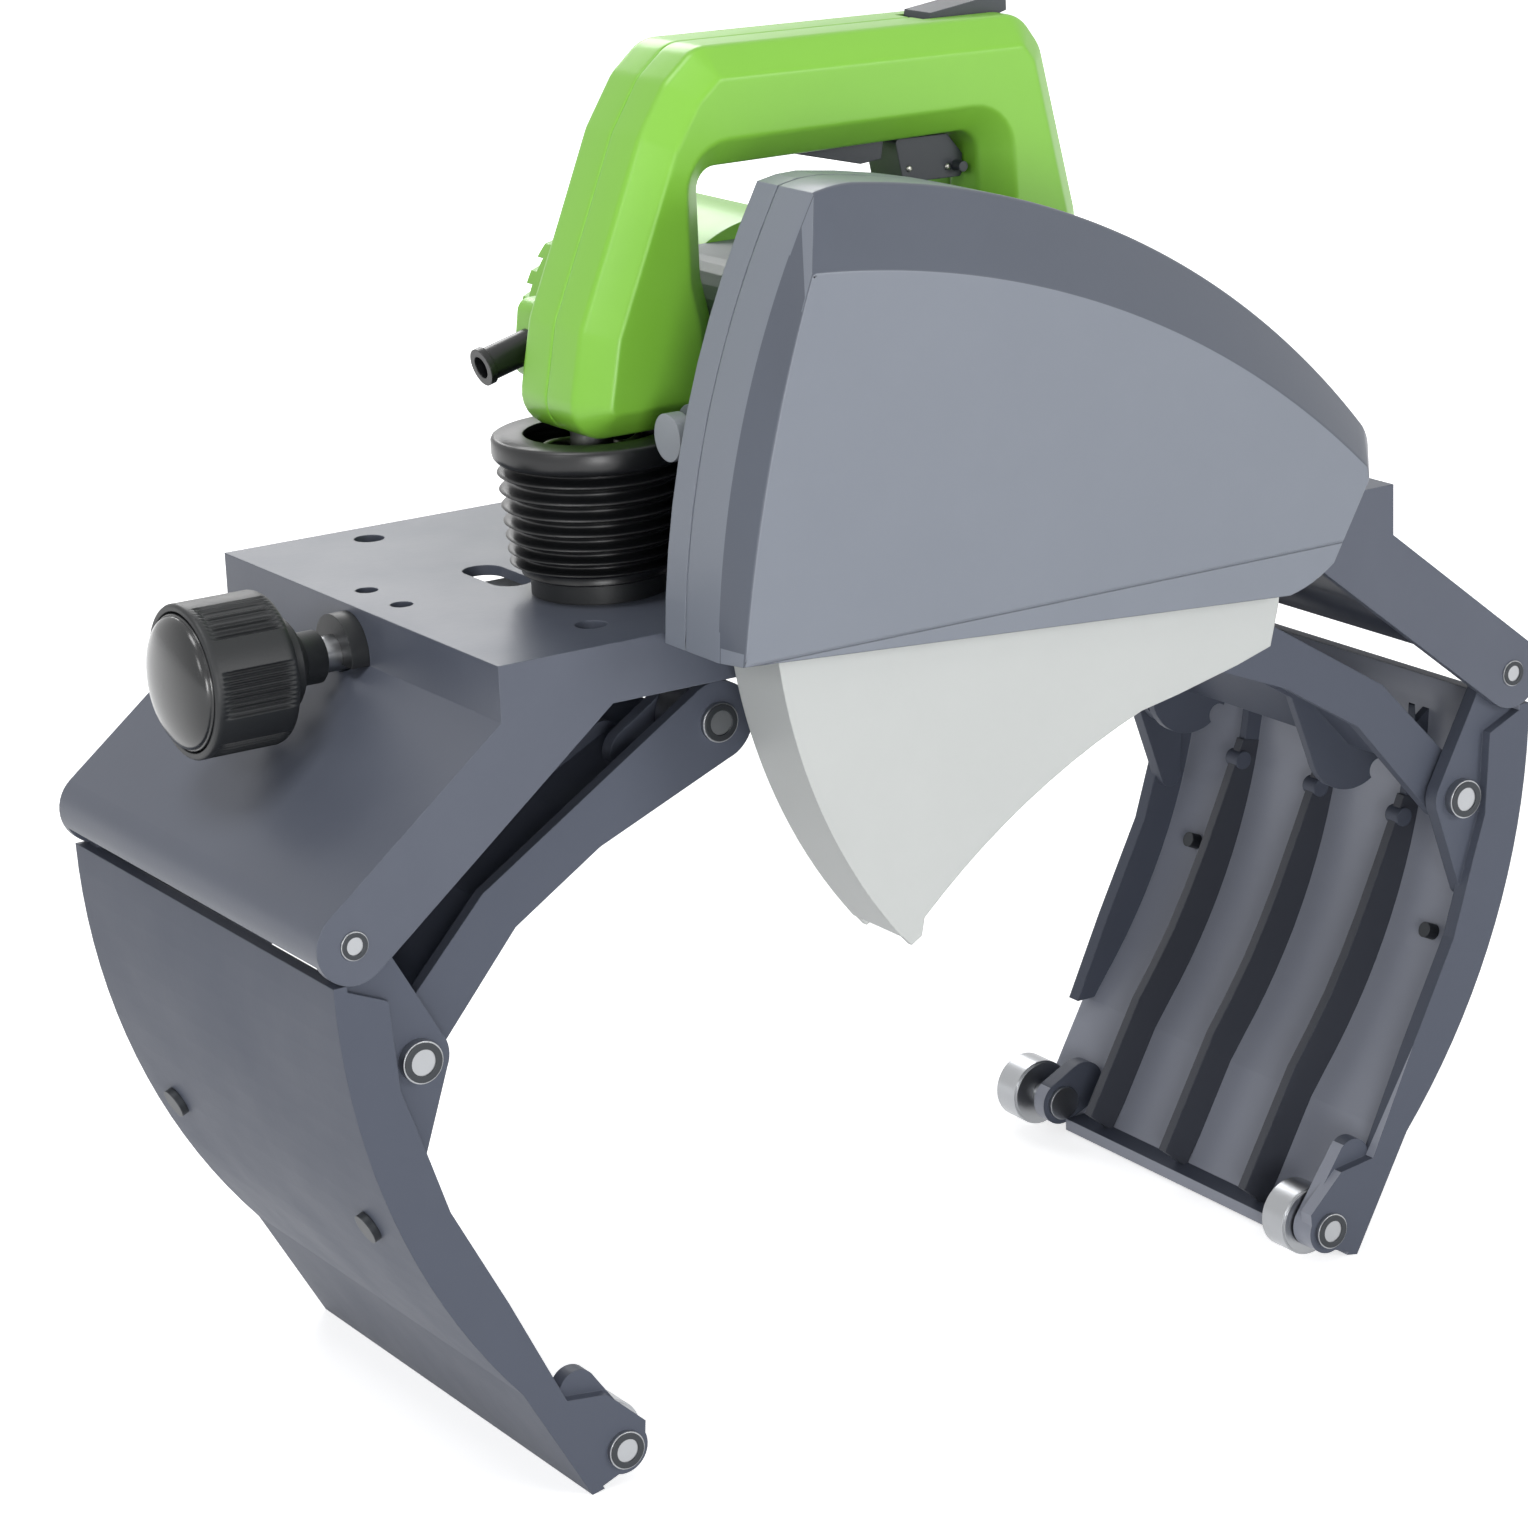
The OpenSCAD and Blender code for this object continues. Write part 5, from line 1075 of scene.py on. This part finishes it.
@dataclass
class Studio(Assembly):
    """Floor, lamps and the camera at the photograph's angle."""

    # The camera, found from the outlines of known level and upright edges in the photograph
    eye: Place = (-695.76, -1078.69, 379.24)
    yaw: float = 32.03
    pitch: float = 16.78
    roll: float = -2.39
    focal_px: float = 4487.0
    picture_px: float = 1528.0
    sensor: float = 36.0
    # Name, place in metres, size in metres and power in watts
    lamps: tuple[tuple[str, Place, float, float], ...] = (
        ("front_lamp", (1.1, -2.3, 0.8), 0.9, 18), ("top_lamp", (-0.9, -0.1, 2.2), 0.8, 15),
        ("low_front_lamp", (-0.8, -1.6, 0.25), 0.5, 9), ("left_lamp", (-2.3, -0.9, 1.2), 0.6, 7),
        ("back_lamp", (0.6, 2.0, 1.4), 1.0, 16))
    lamps_face: Place = (0, 0, 0.05)
    floor_half: float = 6.0
    # The floor's own glow, from near the machine to far off, and how far that is in metres
    glow: Point = (0.7, 1.0)
    glow_reach: Point = (0.6, 1.8)
    room_light: float = 0.3

    def build(self) -> None:
        """Makes the floor, the lamps, the world and the camera."""
        self._camera()
        self._floor(min(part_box(node)[0][2] for node in self.sizes.nodes))
        for lamp in self.lamps:
            self._lamp(*lamp)
        self._world()
        bpy.context.scene.view_settings.view_transform = "Standard"

    def _camera(self) -> None:
        """Places the camera by its yaw, pitch and roll."""
        yaw, pitch, roll = (math.radians(a) for a in (self.yaw, self.pitch, self.roll))
        ahead = Vector((math.sin(yaw) * math.cos(pitch), math.cos(yaw) * math.cos(pitch), -math.sin(pitch)))
        right = Vector((math.cos(yaw), -math.sin(yaw), 0))
        up = right.cross(ahead)
        side = right * math.cos(roll) + up * math.sin(roll)
        top = up * math.cos(roll) - right * math.sin(roll)
        data = bpy.data.cameras.new("photo_camera")
        data.sensor_width = self.sensor
        data.lens = self.focal_px * self.sensor / self.picture_px
        data.clip_start = 0.01
        camera = put("photo_camera", data)
        turn = Matrix((side, top, -ahead)).transposed().to_4x4()
        camera.matrix_world = Matrix.Translation(self.sizes.over(*self.eye)) @ turn
        bpy.context.scene.camera = camera

    def _floor(self, height: float) -> None:
        """Lays a wide pale floor just under the lowest point.

        Args:
            height: the floor's height in metres.
        """
        half = self.floor_half
        mesh = bpy.data.meshes.new("studio_floor")
        mesh.from_pydata([(x, y, height) for x, y in ((-half, -half), (half, -half), (half, half),
                                                      (-half, half))], [], [(0, 1, 2, 3)])
        made = bpy.data.materials.new("matt_white_floor")
        made.use_nodes = True
        tree = made.node_tree
        tree.nodes.clear()
        plain = add_node(tree, "ShaderNodeBsdfDiffuse", {"Color": linear("#F4F4F4")})
        # Away from the machine the lamps fade, and the floor's own glow takes over
        spot = add_node(tree, "ShaderNodeNewGeometry")
        away = add_node(tree, "ShaderNodeVectorMath", {0: spot.outputs["Position"]}, operation="LENGTH")
        level = add_node(tree, "ShaderNodeMapRange", {
            "Value": away.outputs["Value"], "From Min": self.glow_reach[0],
            "From Max": self.glow_reach[1], "To Min": self.glow[0], "To Max": self.glow[1]})
        glow = add_node(tree, "ShaderNodeEmission", {
            "Color": linear("#FFFFFF"), "Strength": level.outputs["Result"]})
        both = add_node(tree, "ShaderNodeAddShader", {0: plain.outputs[0], 1: glow.outputs[0]})
        seen = add_node(tree, "ShaderNodeMixShader", {
            "Fac": self._seen_rays(tree), 1: plain.outputs[0], 2: both.outputs[0]})
        add_node(tree, "ShaderNodeOutputMaterial", {"Surface": seen.outputs[0]})
        mesh.materials.append(made)
        floor = put("studio_floor", mesh)

    def _seen_rays(self, tree: NodeTree) -> NodeSocket:
        """Picks the rays that show a surface itself: straight, mirrored or through glass.

        Args:
            tree: the tree that gets the nodes.

        Returns:
            A factor of 1 for those rays, else 0.
        """
        rays = add_node(tree, "ShaderNodeLightPath")
        mirrored = add_node(tree, "ShaderNodeMath", {
            0: rays.outputs["Is Glossy Ray"], 1: rays.outputs["Is Transmission Ray"]}, operation="MAXIMUM")
        return add_node(tree, "ShaderNodeMath", {
            0: rays.outputs["Is Camera Ray"], 1: mirrored.outputs[0]}, operation="MAXIMUM").outputs[0]

    def _lamp(self, name: str, place: Place, size: float, power: float) -> None:
        """Adds a soft area lamp that faces the machine.

        Args:
            name: the lamp's name.
            place: where it stands, in metres.
            size: the side of its square face, in metres.
            power: its power in watts.
        """
        data = bpy.data.lights.new(name, "AREA")
        data.size = size
        data.energy = power
        lamp = put(name, data)
        lamp.location = place
        away = Vector(place) - Vector(self.lamps_face)
        lamp.rotation_euler = away.to_track_quat("Z", "Y").to_euler()

    def _world(self) -> None:
        """Lights the room evenly and shows it white to the camera and in reflections."""
        world = bpy.data.worlds.new("plain_studio")
        bpy.context.scene.world = world
        world.use_nodes = True
        tree = world.node_tree
        tree.nodes.clear()
        soft = add_node(tree, "ShaderNodeBackground", {
            "Color": linear("#F2F4F7"), "Strength": self.room_light})
        white = add_node(tree, "ShaderNodeBackground", {"Color": linear("#FFFFFF"), "Strength": 1.0})
        seen = add_node(tree, "ShaderNodeMixShader", {
            "Fac": self._seen_rays(tree), 1: soft.outputs[0], 2: white.outputs[0]})
        add_node(tree, "ShaderNodeOutputWorld", {"Surface": seen.outputs[0]})


def main() -> None:
    """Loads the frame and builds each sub-assembly in order."""
    logging.basicConfig(level=logging.INFO, format="%(message)s")
    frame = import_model()
    sizes = Measures(frame)
    for kind in (Studio, CadPieces, Bellows, Knob, ArmRibs, PinShadeRings, Guard, Handle):
        kind(sizes).build()


if __name__ == "__main__":
    main()
